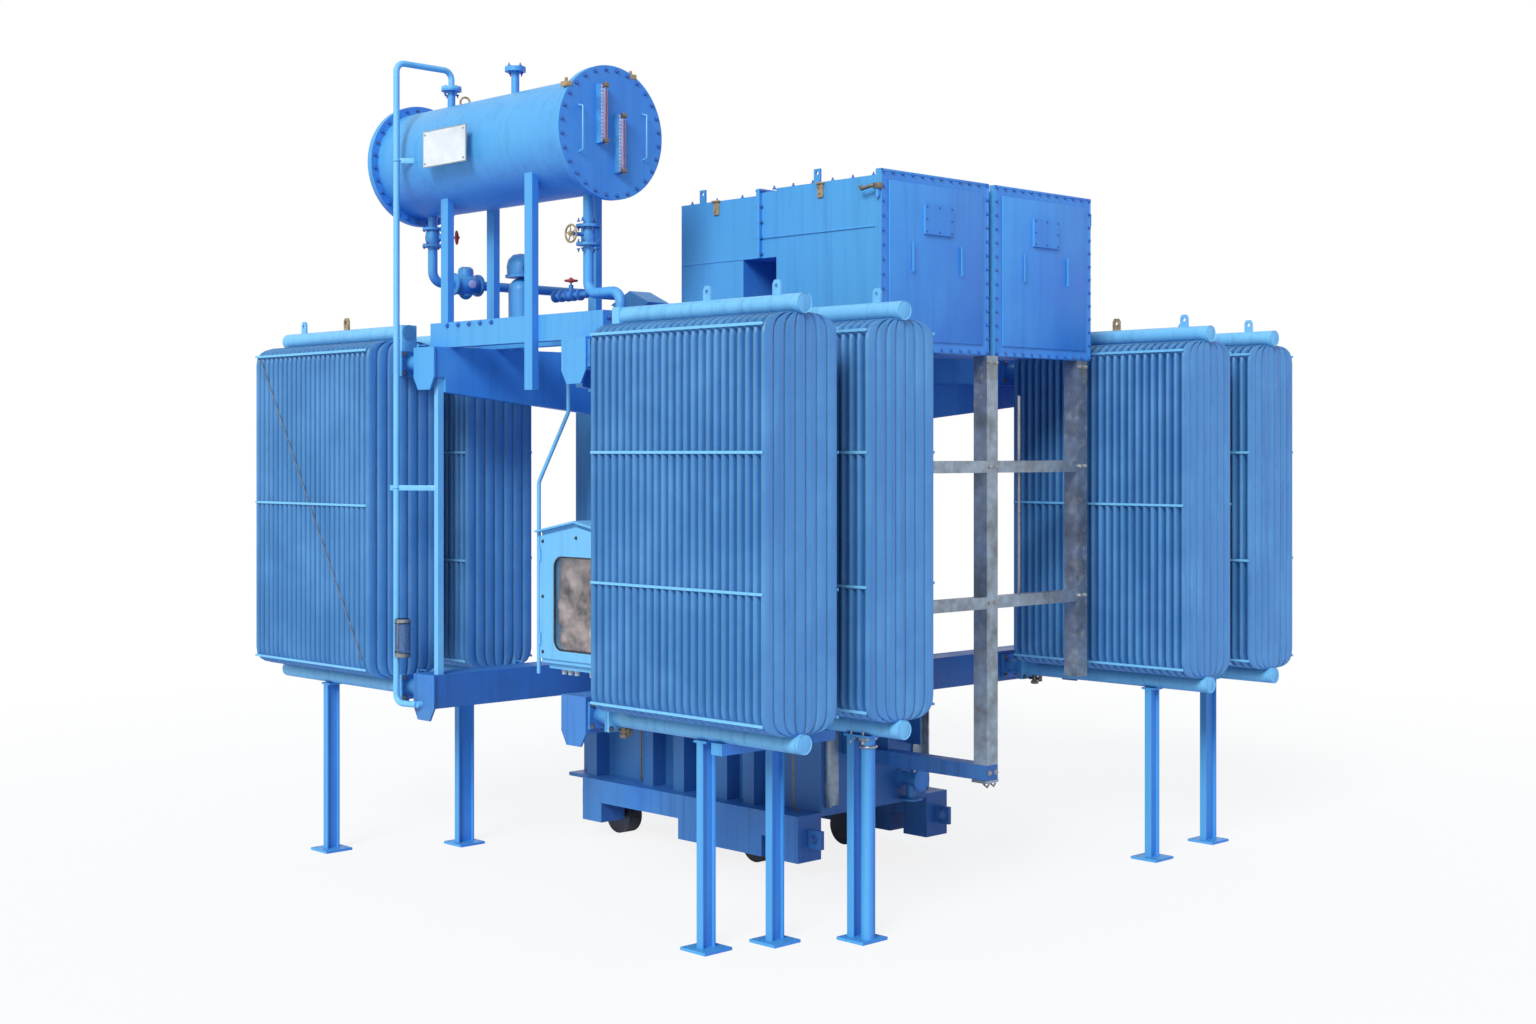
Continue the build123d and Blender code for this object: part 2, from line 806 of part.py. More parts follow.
def plate_bracket():
    """Two flat stand-offs between the vessel and its plate."""
    solids = []
    front = vessel_y - vessel_radius - plate_bracket_depth
    for side in sides:
        x = plate_x + side * plate_width / 4
        arm = block((x - lug_width / 2, x + lug_width / 2), (front, vessel_y),
                    (vessel_z - lug_thickness / 2, vessel_z + lug_thickness / 2))
        solids.append((arm - seat_cutter()).solids()[0])
    return solids


def top_nozzle(x, flange_z):
    """A stub on top of the vessel with a pair of flanges."""
    low = flange_z - nozzle_flange_thickness
    body = rod((x, vessel_y, vessel_z), (x, vessel_y, flange_z), nozzle_radius)
    body -= seat_cutter()
    body = body.solids().sort_by(Axis.Z)[-1]
    return body + rod((x, vessel_y, low), (x, vessel_y, flange_z), nozzle_flange_radius)


def filler_nozzle():
    """The filler stub with its blank flange."""
    stub = top_nozzle(filler_x, filler_top_z - nozzle_flange_thickness)
    blank = rod((filler_x, vessel_y, filler_top_z - nozzle_flange_thickness),
                (filler_x, vessel_y, filler_top_z), nozzle_flange_radius)
    return stub + blank


def level_gauges():
    """Two upright sight gauges on the cable-end cover."""
    solids = []
    start = vessel_end_x + vessel_cover_thickness
    for place, lift in zip(gauge_places, gauge_lift_places):
        y = vessel_y + place
        z = vessel_z + lift
        solids.append(block((start, start + gauge_depth), (y - gauge_width / 2, y + gauge_width / 2),
                            (z - gauge_height / 2, z + gauge_height / 2)))
    return solids


def breather_pipe():
    """The breathing pipe from the vessel down to the lower collector."""
    points = [
        (breather_x, vessel_y, breather_flange_z), (breather_x, vessel_y, breather_top_z),
        (breather_x, breather_drop_y, breather_top_z), (breather_x, breather_drop_y, breather_foot_z),
        (breather_end_x, breather_end_y, breather_foot_z),
    ]
    pipe = bent_pipe(points, breather_pipe_radius, breather_bend)
    tip = rod((breather_end_x, breather_end_y, breather_foot_z),
              (breather_end_x, -collector_end_y - end_plate_thickness, breather_foot_z), breather_pipe_radius)
    flange = rod((breather_x, vessel_y, breather_flange_z),
                 (breather_x, vessel_y, breather_flange_z + nozzle_flange_thickness), nozzle_flange_radius)
    return pipe + tip + flange


def drying_jar():
    """A glass jar of drying grains on the breather pipe."""
    y = breather_drop_y
    x = breather_x + breather_pipe_radius + jar_radius + seat_gap
    jar = rod((x, y, jar_z), (x, y, jar_z + jar_height), jar_radius)
    return jar


def relay_pipe():
    """The oil pipe from the vessel through the gas relay to the tank cover."""
    points = [
        (relay_pipe_x, vessel_y, vessel_z - vessel_radius / 2), (relay_pipe_x, vessel_y, relay_pipe_z),
        (relay_pipe_x, relay_pipe_end_y, relay_pipe_z), (relay_pipe_x, relay_pipe_end_y, cover_top_z),
    ]
    pipe = bent_pipe(points, pipe_radius, pipe_bend)
    pipe -= seat_cutter()
    pipe = pipe.solids().sort_by(SortBy.VOLUME)[-1]
    foot = rod((relay_pipe_x, relay_pipe_end_y, cover_top_z),
               (relay_pipe_x, relay_pipe_end_y, cover_top_z + pipe_flange_thickness), pipe_flange_radius)
    relay_space = rod((relay_pipe_x, relay_y - relay_length / 2, relay_pipe_z),
                      (relay_pipe_x, relay_y + relay_length / 2, relay_pipe_z), 2 * pipe_radius)
    return ((pipe + foot) - relay_space).solids()


def gas_relay():
    """The gas relay with its flanges and its housing."""
    start = relay_y - relay_length / 2
    end = relay_y + relay_length / 2
    half = relay_width / 2
    housing = block((relay_pipe_x - half, relay_pipe_x + half),
                    (start + pipe_flange_thickness, end - pipe_flange_thickness),
                    (relay_pipe_z - half, relay_pipe_z - half + relay_height))
    for pair in ((start, start + pipe_flange_thickness), (end - pipe_flange_thickness, end)):
        housing += rod((relay_pipe_x, pair[0], relay_pipe_z), (relay_pipe_x, pair[1], relay_pipe_z),
                       pipe_flange_radius)
    return housing


def filling_pipe():
    """The pipe from the vessel to the cable-end collector, with a gap for its valve."""
    points = [
        (filling_pipe_x, vessel_y, vessel_z - vessel_radius / 2), (filling_pipe_x, vessel_y, filling_pipe_z),
        (filling_pipe_end_x, vessel_y, filling_pipe_z), (filling_pipe_end_x, vessel_y, upper_collector_top),
    ]
    pipe = bent_pipe(points, pipe_radius, pipe_bend)
    pipe -= seat_cutter()
    pipe = pipe.solids().sort_by(SortBy.VOLUME)[-1]
    half = valve_gap / 2
    space = rod((filling_pipe_x, vessel_y, filling_valve_z - half),
                (filling_pipe_x, vessel_y, filling_valve_z + half), 2 * pipe_radius)
    return (pipe - space).solids()


def filling_valve():
    """The flanged valve in the filling pipe."""
    half = valve_gap / 2
    body = rod((filling_pipe_x, vessel_y, filling_valve_z - half),
               (filling_pipe_x, vessel_y, filling_valve_z + half), pipe_radius + lug_thickness)
    for z in (filling_valve_z - half, filling_valve_z + half - pipe_flange_thickness):
        body += rod((filling_pipe_x, vessel_y, z), (filling_pipe_x, vessel_y, z + pipe_flange_thickness),
                    pipe_flange_radius)
    body += rod((filling_pipe_x, vessel_y, filling_valve_z),
                (filling_pipe_x, vessel_y - handwheel_reach, filling_valve_z), valve_stem_radius)
    return body


def relief_riser():
    """A domed relief vessel on the plain-end collector."""
    x = -(collector_inner_x + collector_width / 2)
    top = upper_collector_top + riser_height
    neck_top = upper_collector_top + riser_height / 3
    body = rod((x, riser_y, upper_collector_top), (x, riser_y, neck_top), riser_neck_radius)
    drum = rod((x, riser_y, neck_top), (x, riser_y, top - riser_radius), riser_radius)
    dome = Pos(x, riser_y, top - riser_radius) * Sphere(riser_radius)
    return body + drum + dome


def instrument_hood():
    """A small gabled hood on the tank cover."""
    half = hood_length / 2
    tip = half + hood_overhang
    tip_z = cover_top_z + hood_wall_height - hood_overhang
    peak_z = cover_top_z + hood_wall_height + hood_gable_height
    under_z = tip_z - hood_eave_thickness
    outline = [
        (hood_x - half, cover_top_z), (hood_x + half, cover_top_z), (hood_x + half, under_z),
        (hood_x + tip, under_z), (hood_x + tip, tip_z), (hood_x, peak_z), (hood_x - tip, tip_z),
        (hood_x - tip, under_z), (hood_x - half, under_z),
    ]
    return side_profile(outline, (hood_y - hood_width / 2, hood_y + hood_width / 2))


def cabinet_body():
    """The control cabinet's case, open at the front for its door."""
    back = cabinet_front_y + cabinet_depth
    middle = (cabinet_start_x + cabinet_end_x) / 2
    outline = [
        (cabinet_start_x, cabinet_bottom_z), (cabinet_end_x, cabinet_bottom_z),
        (cabinet_end_x, cabinet_top_z), (middle, cabinet_top_z + cabinet_roof_rise),
        (cabinet_start_x, cabinet_top_z),
    ]
    case = side_profile(outline, (cabinet_front_y + cabinet_door_thickness, back))
    plate = block((cabinet_start_x + cabinet_door_inset, cabinet_end_x - cabinet_door_inset),
                  (cabinet_front_y + 2 * cabinet_door_inset, back - cabinet_door_inset),
                  (cabinet_bottom_z - gland_plate_height, cabinet_bottom_z))
    pocket_back = cabinet_front_y + cabinet_door_thickness + window_pocket_depth
    pocket = extrude(window_plane(pocket_back) * window_sketch(0), amount=window_pocket_depth + cut_overrun)
    return case + plate - pocket


def cabinet_roof():
    """The thin gabled roof that overhangs the cabinet."""
    middle = (cabinet_start_x + cabinet_end_x) / 2
    slope = cabinet_roof_rise / (cabinet_end_x - middle)
    drop = cabinet_roof_overhang * slope
    low = cabinet_top_z - drop
    peak = cabinet_top_z + cabinet_roof_rise
    left = cabinet_start_x - cabinet_roof_overhang
    right = cabinet_end_x + cabinet_roof_overhang
    outline = [
        (left, low), (middle, peak), (right, low), (right, low + cabinet_roof_thickness),
        (middle, peak + cabinet_roof_thickness), (left, low + cabinet_roof_thickness),
    ]
    back = cabinet_front_y + cabinet_depth
    return side_profile(outline, (cabinet_front_y - cabinet_roof_overhang, back))


def window_sketch(margin):
    """The rounded outline of the cabinet's window, grown by a margin."""
    return RectangleRounded(window_width + 2 * margin, window_height + 2 * margin, window_corner + margin)


def window_plane(y):
    """A plane across the door at the middle of the window."""
    middle_x = (cabinet_start_x + cabinet_end_x) / 2
    middle_z = (cabinet_bottom_z + cabinet_top_z) / 2 - window_drop
    return Plane(origin=(middle_x, y, middle_z), x_dir=(1, 0, 0), z_dir=(0, -1, 0))


def cabinet_door():
    """The cabinet's door with its window cut through."""
    inset = cabinet_door_inset
    back = cabinet_front_y + cabinet_door_thickness
    middle = (cabinet_start_x + cabinet_end_x) / 2
    low = cabinet_bottom_z + inset
    high = cabinet_top_z - inset
    outline = [
        (cabinet_start_x, low), (cabinet_end_x, low), (cabinet_end_x, high),
        (middle, high + cabinet_roof_rise), (cabinet_start_x, high),
    ]
    door = side_profile(outline, (cabinet_front_y, back))
    depth = 2 * cut_overrun + cabinet_door_thickness
    hole = extrude(window_plane(back + cut_overrun) * window_sketch(0), amount=depth)
    return door - hole


def cabinet_window():
    """The window pane, flush in the back of the door."""
    back = cabinet_front_y + cabinet_door_thickness
    return extrude(window_plane(back) * window_sketch(-seat_gap), amount=window_glass_thickness)


def cabinet_arms():
    """Two arms from the tank's stiffeners to the cabinet's back."""
    back = cabinet_front_y + cabinet_depth
    half = cabinet_arm_size / 2
    solids = []
    for x in stiffener_places:
        if cabinet_start_x < x - half and x + half < cabinet_end_x:
            solids.append(block((x - half, x + half), (back, -tank_half_width - stiffener_depth),
                                (cabinet_arm_z - half, cabinet_arm_z + half)))
    return solids


def conduit():
    """The cable conduit from the conservator beam down past the cabinet's side."""
    y = vessel_y + beam_spread / 2
    x = cabinet_start_x - cabinet_roof_overhang - conduit_radius - seat_gap
    points = [
        (conduit_top_x, y, upper_collector_top), (conduit_top_x, y, conduit_upper_z),
        (x, y, conduit_lower_z), (x, y, conduit_foot_z),
    ]
    return bent_pipe(points, conduit_radius, conduit_bend)


def drain_valve():
    """The drain valve on the cable end of the tank."""
    start = tank_cable_end_x
    end = start + drain_reach
    body = rod((start, drain_y, drain_z), (end, drain_y, drain_z), pipe_radius + lug_thickness)
    for x in (start, end):
        body += rod((x, drain_y, drain_z), (x + pipe_flange_thickness, drain_y, drain_z), pipe_flange_radius)
    middle = (start + end) / 2
    body += rod((middle, drain_y, drain_z - handwheel_reach), (middle, drain_y, drain_z), pipe_radius)
    low = drain_z - handwheel_reach
    body += rod((middle, drain_y, low - handwheel_thickness), (middle, drain_y, low), pipe_flange_radius)
    return body


def handwheels():
    """The handwheel of the filling valve."""
    back = (filling_pipe_x, vessel_y - handwheel_reach, filling_valve_z)
    front = (filling_pipe_x, vessel_y - handwheel_reach - handwheel_thickness, filling_valve_z)
    return [rod(front, back, handwheel_radius)]


def mirrored(shape):
    """The same piece on the other side of the middle."""
    return shape.mirror(Plane.XZ)


def at_plain_end(shape):
    """The same piece at the plain end."""
    return shape.mirror(Plane.YZ)


def build_radiators(pieces):
    """Eight radiators with their straps."""
    master = radiator()
    rows = (-row_outer_y, -row_inner_y, row_inner_y, row_outer_y)
    strap_solids = []
    for number, y in enumerate(rows, 1):
        placed = Pos(0, y, 0) * master
        pieces[f"radiator_cable_end_{number}"] = placed
        pieces[f"radiator_plain_end_{number}"] = at_plain_end(placed)
        shares = strap_share_single if number == 3 else strap_share_pair
        strap_solids += [Pos(0, y, 0) * s for s in straps(shares)]
        plain_shares = strap_share_single if number == 1 else strap_share_pair
        strap_solids += [at_plain_end(Pos(0, y, 0) * s) for s in straps(plain_shares)]
    pieces["panel_straps"] = Compound(strap_solids)


def build_collectors(pieces):
    """Collectors, valves and tie posts."""
    for level, make in (("upper", upper_collector), ("lower", lower_collector)):
        near = make()
        cable_end = [near, mirrored(near)]
        pieces[f"{level}_collectors"] = Compound(cable_end + [at_plain_end(s) for s in cable_end])
    valves = []
    for z in (upper_collector_z, header_bottom_z):
        valves += [butterfly_valve(y, z) for y in (-row_outer_y, -row_inner_y, row_inner_y, row_outer_y)]
    pieces["radiator_valves"] = Compound(valves + [at_plain_end(v) for v in valves])
    lower_top = header_bottom_z + lower_collector_height / 2
    tip = -collector_end_y + haunch_tip_inset
    start = -collector_inner_x - haunch_thickness
    post = block((start, start + tie_post_size), (tip - tie_post_size, tip), (lower_top, upper_collector_bottom))
    pieces["tie_posts"] = Compound([post, mirrored(post)])


def build_legs(pieces):
    """Legs under the headers of the radiators."""
    top = header_bottom_z - header_radius
    header_edges = (-row_outer_y - header_radius, -row_inner_y + header_radius)
    legs = [
        leg(near_outer_leg_x, -row_outer_y, top, leg_depth),
        leg_pair(near_inner_leg_x, -row_inner_y, top),
        cross_leg(near_middle_leg_x, header_edges, top),
        leg(far_inner_leg_x, row_inner_y, top, leg_depth),
        leg(far_outer_leg_x, row_outer_y, top, leg_wide_depth),
    ]
    plain = [
        leg(plain_outer_leg_x, -row_outer_y, top, leg_depth),
        leg(plain_inner_leg_x, -row_inner_y, top, leg_wide_depth),
    ]
    pieces["radiator_legs"] = Compound(legs + plain + [mirrored(p) for p in plain])


def build_tank(pieces):
    """Tank walls, floor, cover, skids and rollers."""
    near = tank_side()
    pieces["tank_wall_near"] = near
    pieces["tank_wall_far"] = mirrored(near)
    pieces["tank_wall_cable_end"] = tank_cable_end()
    pieces["tank_wall_plain_end"] = tank_plain_end()
    width = tank_half_width + floor_margin
    floor = (tank_bottom_z - floor_thickness, tank_bottom_z)
    inner_floor = block((tank_plain_foot_x, tank_cable_end_x), (-width, width), floor)
    ledge = block((skid_start_x, tank_cable_end_x), (-skid_outer_y, skid_outer_y), floor)
    pieces["tank_floor"] = inner_floor + ledge
    reach = tank_half_width + rim_width
    cover_x = (tank_plain_end_x - rim_width, tank_cable_end_x + rim_width)
    pieces["tank_cover"] = block(cover_x, (-reach, reach), (tank_top_z, cover_top_z))
    near = skid()
    pieces["skids"] = Compound([near, mirrored(near)])
    pieces["rollers"] = Compound(rollers())


def build_cable_boxes(pieces):
    """Cable boxes, bushing boxes, covers and the frame below."""
    makers = {"cable_boxes": cable_box, "bushing_boxes": bushing_box, "cable_box_covers": box_cover}
    for name, make in makers.items():
        far = make()
        pieces[name] = Compound([far, mirrored(far)])
    pieces["frame_posts"] = Compound([
        channel_post(0, frame_arm_z + frame_arm_height),
        channel_post(-frame_side_post_y, frame_side_post_foot_z),
        channel_post(frame_side_post_y, frame_side_post_foot_z),
    ])
    pieces["frame_arm"] = frame_arm()
    pieces["frame_rails"] = Compound(frame_rails())


def build_conservator(pieces):
    """The conservator with its supports, fittings and pipes."""
    pieces["conservator_shell"] = vessel_shell()
    pieces["conservator_covers"] = Compound([vessel_cover(vessel_end_x, 1), vessel_cover(vessel_start_x, -1)])
    pieces["conservator_beams"] = Compound(vessel_beams())
    pieces["conservator_legs"] = Compound(vessel_legs())
    pieces["plate"] = data_plate().fuse(*plate_bracket())
    pieces["top_nozzles"] = Compound([filler_nozzle(), top_nozzle(breather_x, breather_flange_z)])
    pieces["level_gauges"] = Compound(level_gauges())
    pieces["breather_pipe"] = breather_pipe()
    pieces["drying_jar"] = drying_jar()
    pieces["relay_pipe"] = Compound(relay_pipe())
    pieces["gas_relay"] = gas_relay()
    pieces["filling_pipe"] = Compound(filling_pipe())
    pieces["oil_valves"] = Compound([filling_valve(), drain_valve()])
    pieces["handwheel"] = Compound(handwheels())
    pieces["relief_riser"] = relief_riser()


def build_cabinet(pieces):
    """The control cabinet with its arms and conduit, and the hood on the tank."""
    pieces["cabinet_body"] = cabinet_body()
    pieces["cabinet_roof"] = cabinet_roof()
    pieces["cabinet_door"] = cabinet_door()
    pieces["cabinet_window"] = cabinet_window()
    pieces["cabinet_arms"] = Compound(cabinet_arms())
    pieces["conduit"] = conduit()
    pieces["instrument_hood"] = instrument_hood()


def main():
    pieces = {}
    build_radiators(pieces)
    build_collectors(pieces)
    build_legs(pieces)
    build_tank(pieces)
    build_cable_boxes(pieces)
    build_conservator(pieces)
    build_cabinet(pieces)
    os.makedirs("parts", exist_ok=True)
    for name, shape in pieces.items():
        export_step(shape, f"parts/{name}.step")
    print(len(pieces), "nodes")


main()
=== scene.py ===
from math import cos, pi, radians, sin

import bpy
import numpy as np
from bpy.props import FloatProperty, FloatVectorProperty, IntProperty, PointerProperty
from mathutils import Matrix, Vector


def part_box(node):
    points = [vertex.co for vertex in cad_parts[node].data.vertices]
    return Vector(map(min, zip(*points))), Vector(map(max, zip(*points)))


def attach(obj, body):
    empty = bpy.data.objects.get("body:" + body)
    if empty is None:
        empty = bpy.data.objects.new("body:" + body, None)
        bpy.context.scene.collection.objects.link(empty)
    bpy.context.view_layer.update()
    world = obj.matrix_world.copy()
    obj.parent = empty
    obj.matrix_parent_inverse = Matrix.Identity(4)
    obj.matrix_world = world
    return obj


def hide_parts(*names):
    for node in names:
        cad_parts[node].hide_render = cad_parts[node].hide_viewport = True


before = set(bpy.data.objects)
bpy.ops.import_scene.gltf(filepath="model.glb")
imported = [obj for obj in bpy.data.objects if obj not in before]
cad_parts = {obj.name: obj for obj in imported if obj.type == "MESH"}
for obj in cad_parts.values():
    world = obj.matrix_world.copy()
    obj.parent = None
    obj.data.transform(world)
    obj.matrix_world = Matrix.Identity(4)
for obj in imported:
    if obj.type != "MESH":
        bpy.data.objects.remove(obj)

bl_info = {
    "name": "Power transformer",
    "version": (1, 0, 0),
    "blender": (4, 5, 0),
    "location": "3D View > Sidebar > Transformer",
    "description": "Dresses an oil-filled power transformer: radiators, fasteners, fittings, paint and stage",
    "category": "Object",
}

X_AXIS = Vector((1, 0, 0))
Y_AXIS = Vector((0, 1, 0))
Z_AXIS = Vector((0, 0, 1))
SIDES = (-1, 1)
ENDS = {"cable_end": 1, "plain_end": -1}
RADIATOR_ROWS = (-2.142, -1.410, 1.410, 2.142)
# Direction of the painted light: enamel faces turned this way take their lit-side colour.
PAINTED_LIGHT_SIDE = (0.12, -0.78, 0.61)
LAMP_SIDE = (0.38, -0.76, 0.53)


def length(name, about, value):
    return FloatProperty(name=name, description=about, default=value, min=0.0, unit="LENGTH", precision=4)


def factor(name, about, value):
    return FloatProperty(name=name, description=about, default=value, min=0.02, max=1.0, subtype="FACTOR")


def brightness(name, about, value):
    return FloatProperty(name=name, description=about, default=value, min=0.0, subtype="UNSIGNED")


def count(name, about, value):
    return IntProperty(name=name, description=about, default=value, min=1, subtype="UNSIGNED")


def colour(name, about, *tone):
    return FloatVectorProperty(
        name=name, description=about, default=(*tone, 1), size=4, min=0.0, max=1.0, subtype="COLOR")


class RadiatorSizes(bpy.types.PropertyGroup):
    panel_count: count("Panels", "Pressed panels in one radiator", 24)
    panel_pitch: length("Panel pitch", "Distance from one panel to the next", 0.05604)
    panel_width: length("Panel width", "Width of a panel over its edges", 0.520)
    panel_low: length("Panel foot", "Height of the panels' lower ends", 1.170)
    panel_high: length("Panel head", "Height of the panels' upper ends", 3.250)
    panel_edge: length("Panel edge", "Thickness of a panel at its welded edge", 0.007)
    flute_count: count("Flutes", "Pressed flutes across one panel", 7)
    flute_slope: length("Flute slope", "Width of each of the two steps on a flute's side", 0.0085)
    flute_rise: length("Flute rise", "Height of a flute over the panel's face", 0.0125)
    fan_height: length("Fan height", "Height over which the flutes run in to the header", 0.120)
    neck_share: factor("Neck share", "Width left at the header", 0.17)
    stack_start: length("Stack start", "Distance from the middle to the first panel", 1.074)
    header_start: length("Header start", "Distance from the middle to the header's flange", 0.998)
    header_end: length("Header end", "Distance from the middle to the header's cap", 2.403)
    header_radius: length("Header radius", "Outer radius of a header", 0.050)
    header_high: length("Upper header", "Height of the upper header's axis", 3.290)
    header_low: length("Lower header", "Height of the lower header's axis", 1.130)
    collector_height: length("Collector height", "Height of the upper flange's middle", 3.100)
    flange_side: length("Flange side", "Side of a square flange", 0.150)
    flange_thickness: length("Flange thickness", "Thickness of a flange", 0.016)
    lug_height: length("Lug height", "Height of a lifting lug on a header", 0.075)
    inner_lug: length("Inner lug", "Distance from the middle to the inner lifting lug", 1.700)
    outer_lug: length("Outer lug", "Distance from the middle to the outer lifting lug", 2.210)


class FastenerSizes(bpy.types.PropertyGroup):
    medium: length("Medium bolt", "Radius of a medium bolt head", 0.0120)
    stud: length("Roof stud", "Radius of a nut on the boxes' roofs", 0.0100)
    flange: length("Flange bolt", "Radius of a bolt head on the oil vessel's flanges", 0.0096)
    cover: length("Cover bolt", "Radius of a bolt head on the boxes' covers", 0.0088)
    small: length("Small bolt", "Radius of a small bolt head", 0.0080)
    valve: length("Valve bolt", "Radius of a bolt head on a small valve", 0.0075)
    screw: length("Screw", "Radius of a screw head", 0.0050)


class PaintColours(bpy.types.PropertyGroup):
    body: colour("Body", "Blue enamel of the tank and pipework", 0.027, 0.190, 0.690)
    # The lit-side colours are painted light on the faces turned towards the lamp.
    body_lit_side: colour("Body sunlit", "The same enamel on the lamp-facing sides",0.080, 0.365, 0.700)
    body_faded: colour("Body faded", "The same enamel where it has chalked", 0.095, 0.360, 0.760)
    # Its darkness is partly painted shade on the low parts.
    base: colour("Base", "Dark blue enamel near the ground", 0.020, 0.095, 0.360)
    base_lit_side: colour("Base sunlit", "Dark blue enamel on the lamp-facing sides", 0.050, 0.210, 0.520)
    radiator: colour("Radiator", "Blue enamel of the panels", 0.062, 0.235, 0.600)
    # Painted shade: on the panels the lit side is darker, for the shade in the gaps between them.
    radiator_lit_side: colour("Radiator sunlit", "Panels on the lamp-facing sides", 0.043, 0.188, 0.392)
    radiator_faded: colour("Radiator faded", "Panels where they have chalked", 0.110, 0.330, 0.640)
    light: colour("Light", "Lighter blue of the cabinet and small pipes", 0.110, 0.390, 0.780)
    light_lit_side: colour("Light sunlit", "Lighter blue on the lamp-facing sides", 0.170, 0.500, 0.800)
    light_faded: colour("Light faded", "Lighter blue where it has chalked", 0.210, 0.560, 0.840)
    # This colour is also the painted shade towards the ground.
    shade: colour("Shade", "Darker blue in dirt and run-off", 0.018, 0.090, 0.300)
    grime: colour("Grime", "Brown dust and run-off", 0.120, 0.105, 0.085)
    rust: colour("Rust", "Rust on bare edges", 0.170, 0.065, 0.025)
    zinc: colour("Zinc", "Weathered galvanised steel", 0.410, 0.500, 0.600)
    red: colour("Red", "Enamel of the handwheels", 0.480, 0.020, 0.022)
    plate: colour("Plate", "Bare plate on the oil vessel", 0.780, 0.800, 0.820)
    rubber: colour("Rubber", "Seals and wheels", 0.020, 0.022, 0.026)


class StageSizes(bpy.types.PropertyGroup):
    floor_side: length("Floor side", "Side of the square floor", 90.0)
    lens: FloatProperty(name="Lens", description="Focal length", default=46.09, min=1.0, unit="CAMERA")
    sun: brightness("Sun", "Strength of the main lamp", 2.5)
    sky: brightness("Sky", "Strength of the soft light from all round", 0.60)


def deselect():
    bpy.ops.object.select_all(action="DESELECT")


def pick(*things):
    """Selects these objects only, the first one active."""
    deselect()
    for thing in things:
        thing.select_set(True)
    bpy.context.view_layer.objects.active = things[0]


def added():
    return bpy.context.view_layer.objects.active


def linked(name, data):
    """A new object of this data."""
    made = bpy.data.objects.new(name, data)
    bpy.context.collection.objects.link(made)
    pick(made)
    return made


def discard(*things):
    for thing in things:
        bpy.data.objects.remove(thing, do_unlink=True)


def edit(thing, chosen=None, mode="FACE"):
    """Opens a mesh for editing, with the faces or points that pass a test selected, or all of it."""
    pick(thing)
    bpy.ops.object.mode_set(mode="EDIT")
    bpy.ops.mesh.select_mode(type=mode)
    if chosen is None:
        select_all()
        return
    bpy.ops.mesh.select_all(action="DESELECT")
    close()
    for part in thing.data.vertices if mode == "VERT" else thing.data.polygons:
        part.select = chosen(part)
    bpy.ops.object.mode_set(mode="EDIT")


def select_all():
    bpy.ops.mesh.select_all(action="SELECT")


def face_outwards():
    bpy.ops.mesh.normals_make_consistent(inside=False)


def close():
    bpy.ops.object.mode_set(mode="OBJECT")


def settle(thing):
    """Puts the object's place and turn into its mesh."""
    pick(thing)
    bpy.ops.object.transform_apply(location=True, rotation=True, scale=True)
    return thing


def modified(thing, kind, **settings):
    """Adds a modifier to an object, sets it and applies it."""
    pick(thing)
    change = thing.modifiers.new(kind.lower(), kind)
    for name, value in settings.items():
        setattr(change, name, value)
    bpy.ops.object.modifier_apply(modifier=change.name)
    return thing


def aimed(place, way):
    """The matrix that sets a thing down at a place, with its Z axis along a direction."""
    return Matrix.Translation(place) @ Vector(way).to_track_quat("Z", "Y").to_matrix().to_4x4()


def box(low, high, bevel=0.0):
    """A block with worn edges between two corners."""
    deselect()
    low = Vector(low)
    high = Vector(high)
    bpy.ops.mesh.primitive_cube_add(size=1, location=(low + high) / 2)
    made = added()
    made.scale = [abs(high[i] - low[i]) for i in range(3)]
    settle(made)
    if bevel:
        edit(made, mode="EDGE")
        bpy.ops.mesh.bevel(offset=bevel, segments=2, affect="EDGES")
        close()
    return made


def rod(start, end, radius, sides=16, cap_inset=0.25):
    """A round bar between two points, its ends eased."""
    deselect()
    start = Vector(start)
    axis = Vector(end) - start
    bpy.ops.mesh.primitive_cylinder_add(
        vertices=sides, radius=radius, depth=axis.length, location=start + axis / 2,
        rotation=axis.to_track_quat("Z", "Y").to_euler())
    made = settle(added())
    if cap_inset:
        way = axis.normalized()
        edit(made, lambda face: abs(face.normal.dot(way)) > 0.9)
        bpy.ops.mesh.inset(thickness=radius * cap_inset, depth=radius * 0.08)
        close()
    return made


def upright_rod(x, y, start, end, radius, sides=16):
    """A round bar along Z between two heights."""
    return rod((x, y, start), (x, y, end), radius, sides)


def lathe(outline, place, axis, sides=32):
    """A turned body, drawn out ring by ring along an outline of (radius, height) pairs."""
    deselect()
    least = 0.0005
    radius, level = max(outline[0][0], least), outline[0][1]
    bpy.ops.mesh.primitive_circle_add(vertices=sides, radius=radius, location=(0, 0, level))
    made = settle(added())
    edit(made, mode="EDGE")
    for next_radius, next_level in outline[1:]:
        next_radius = max(next_radius, least)
        bpy.ops.mesh.extrude_edges_move(TRANSFORM_OT_translate={"value": (0, 0, next_level - level)})
        share = next_radius / radius
        bpy.ops.transform.resize(value=(share, share, 1), center_override=(0, 0, next_level))
        radius, level = next_radius, next_level
    select_all()
    bpy.ops.mesh.fill_holes(sides=0)
    face_outwards()
    close()
    made.matrix_world = aimed(place, axis)
    return settle(made)


def ring(middle, axis, radius, thickness, sides=32, sections=10):
    """A round ring, such as a wheel's rim."""
    deselect()
    bpy.ops.mesh.primitive_torus_add(
        major_radius=radius, minor_radius=thickness, major_segments=sides, minor_segments=sections,
        location=middle, rotation=Vector(axis).to_track_quat("Z", "Y").to_euler())
    return settle(added())


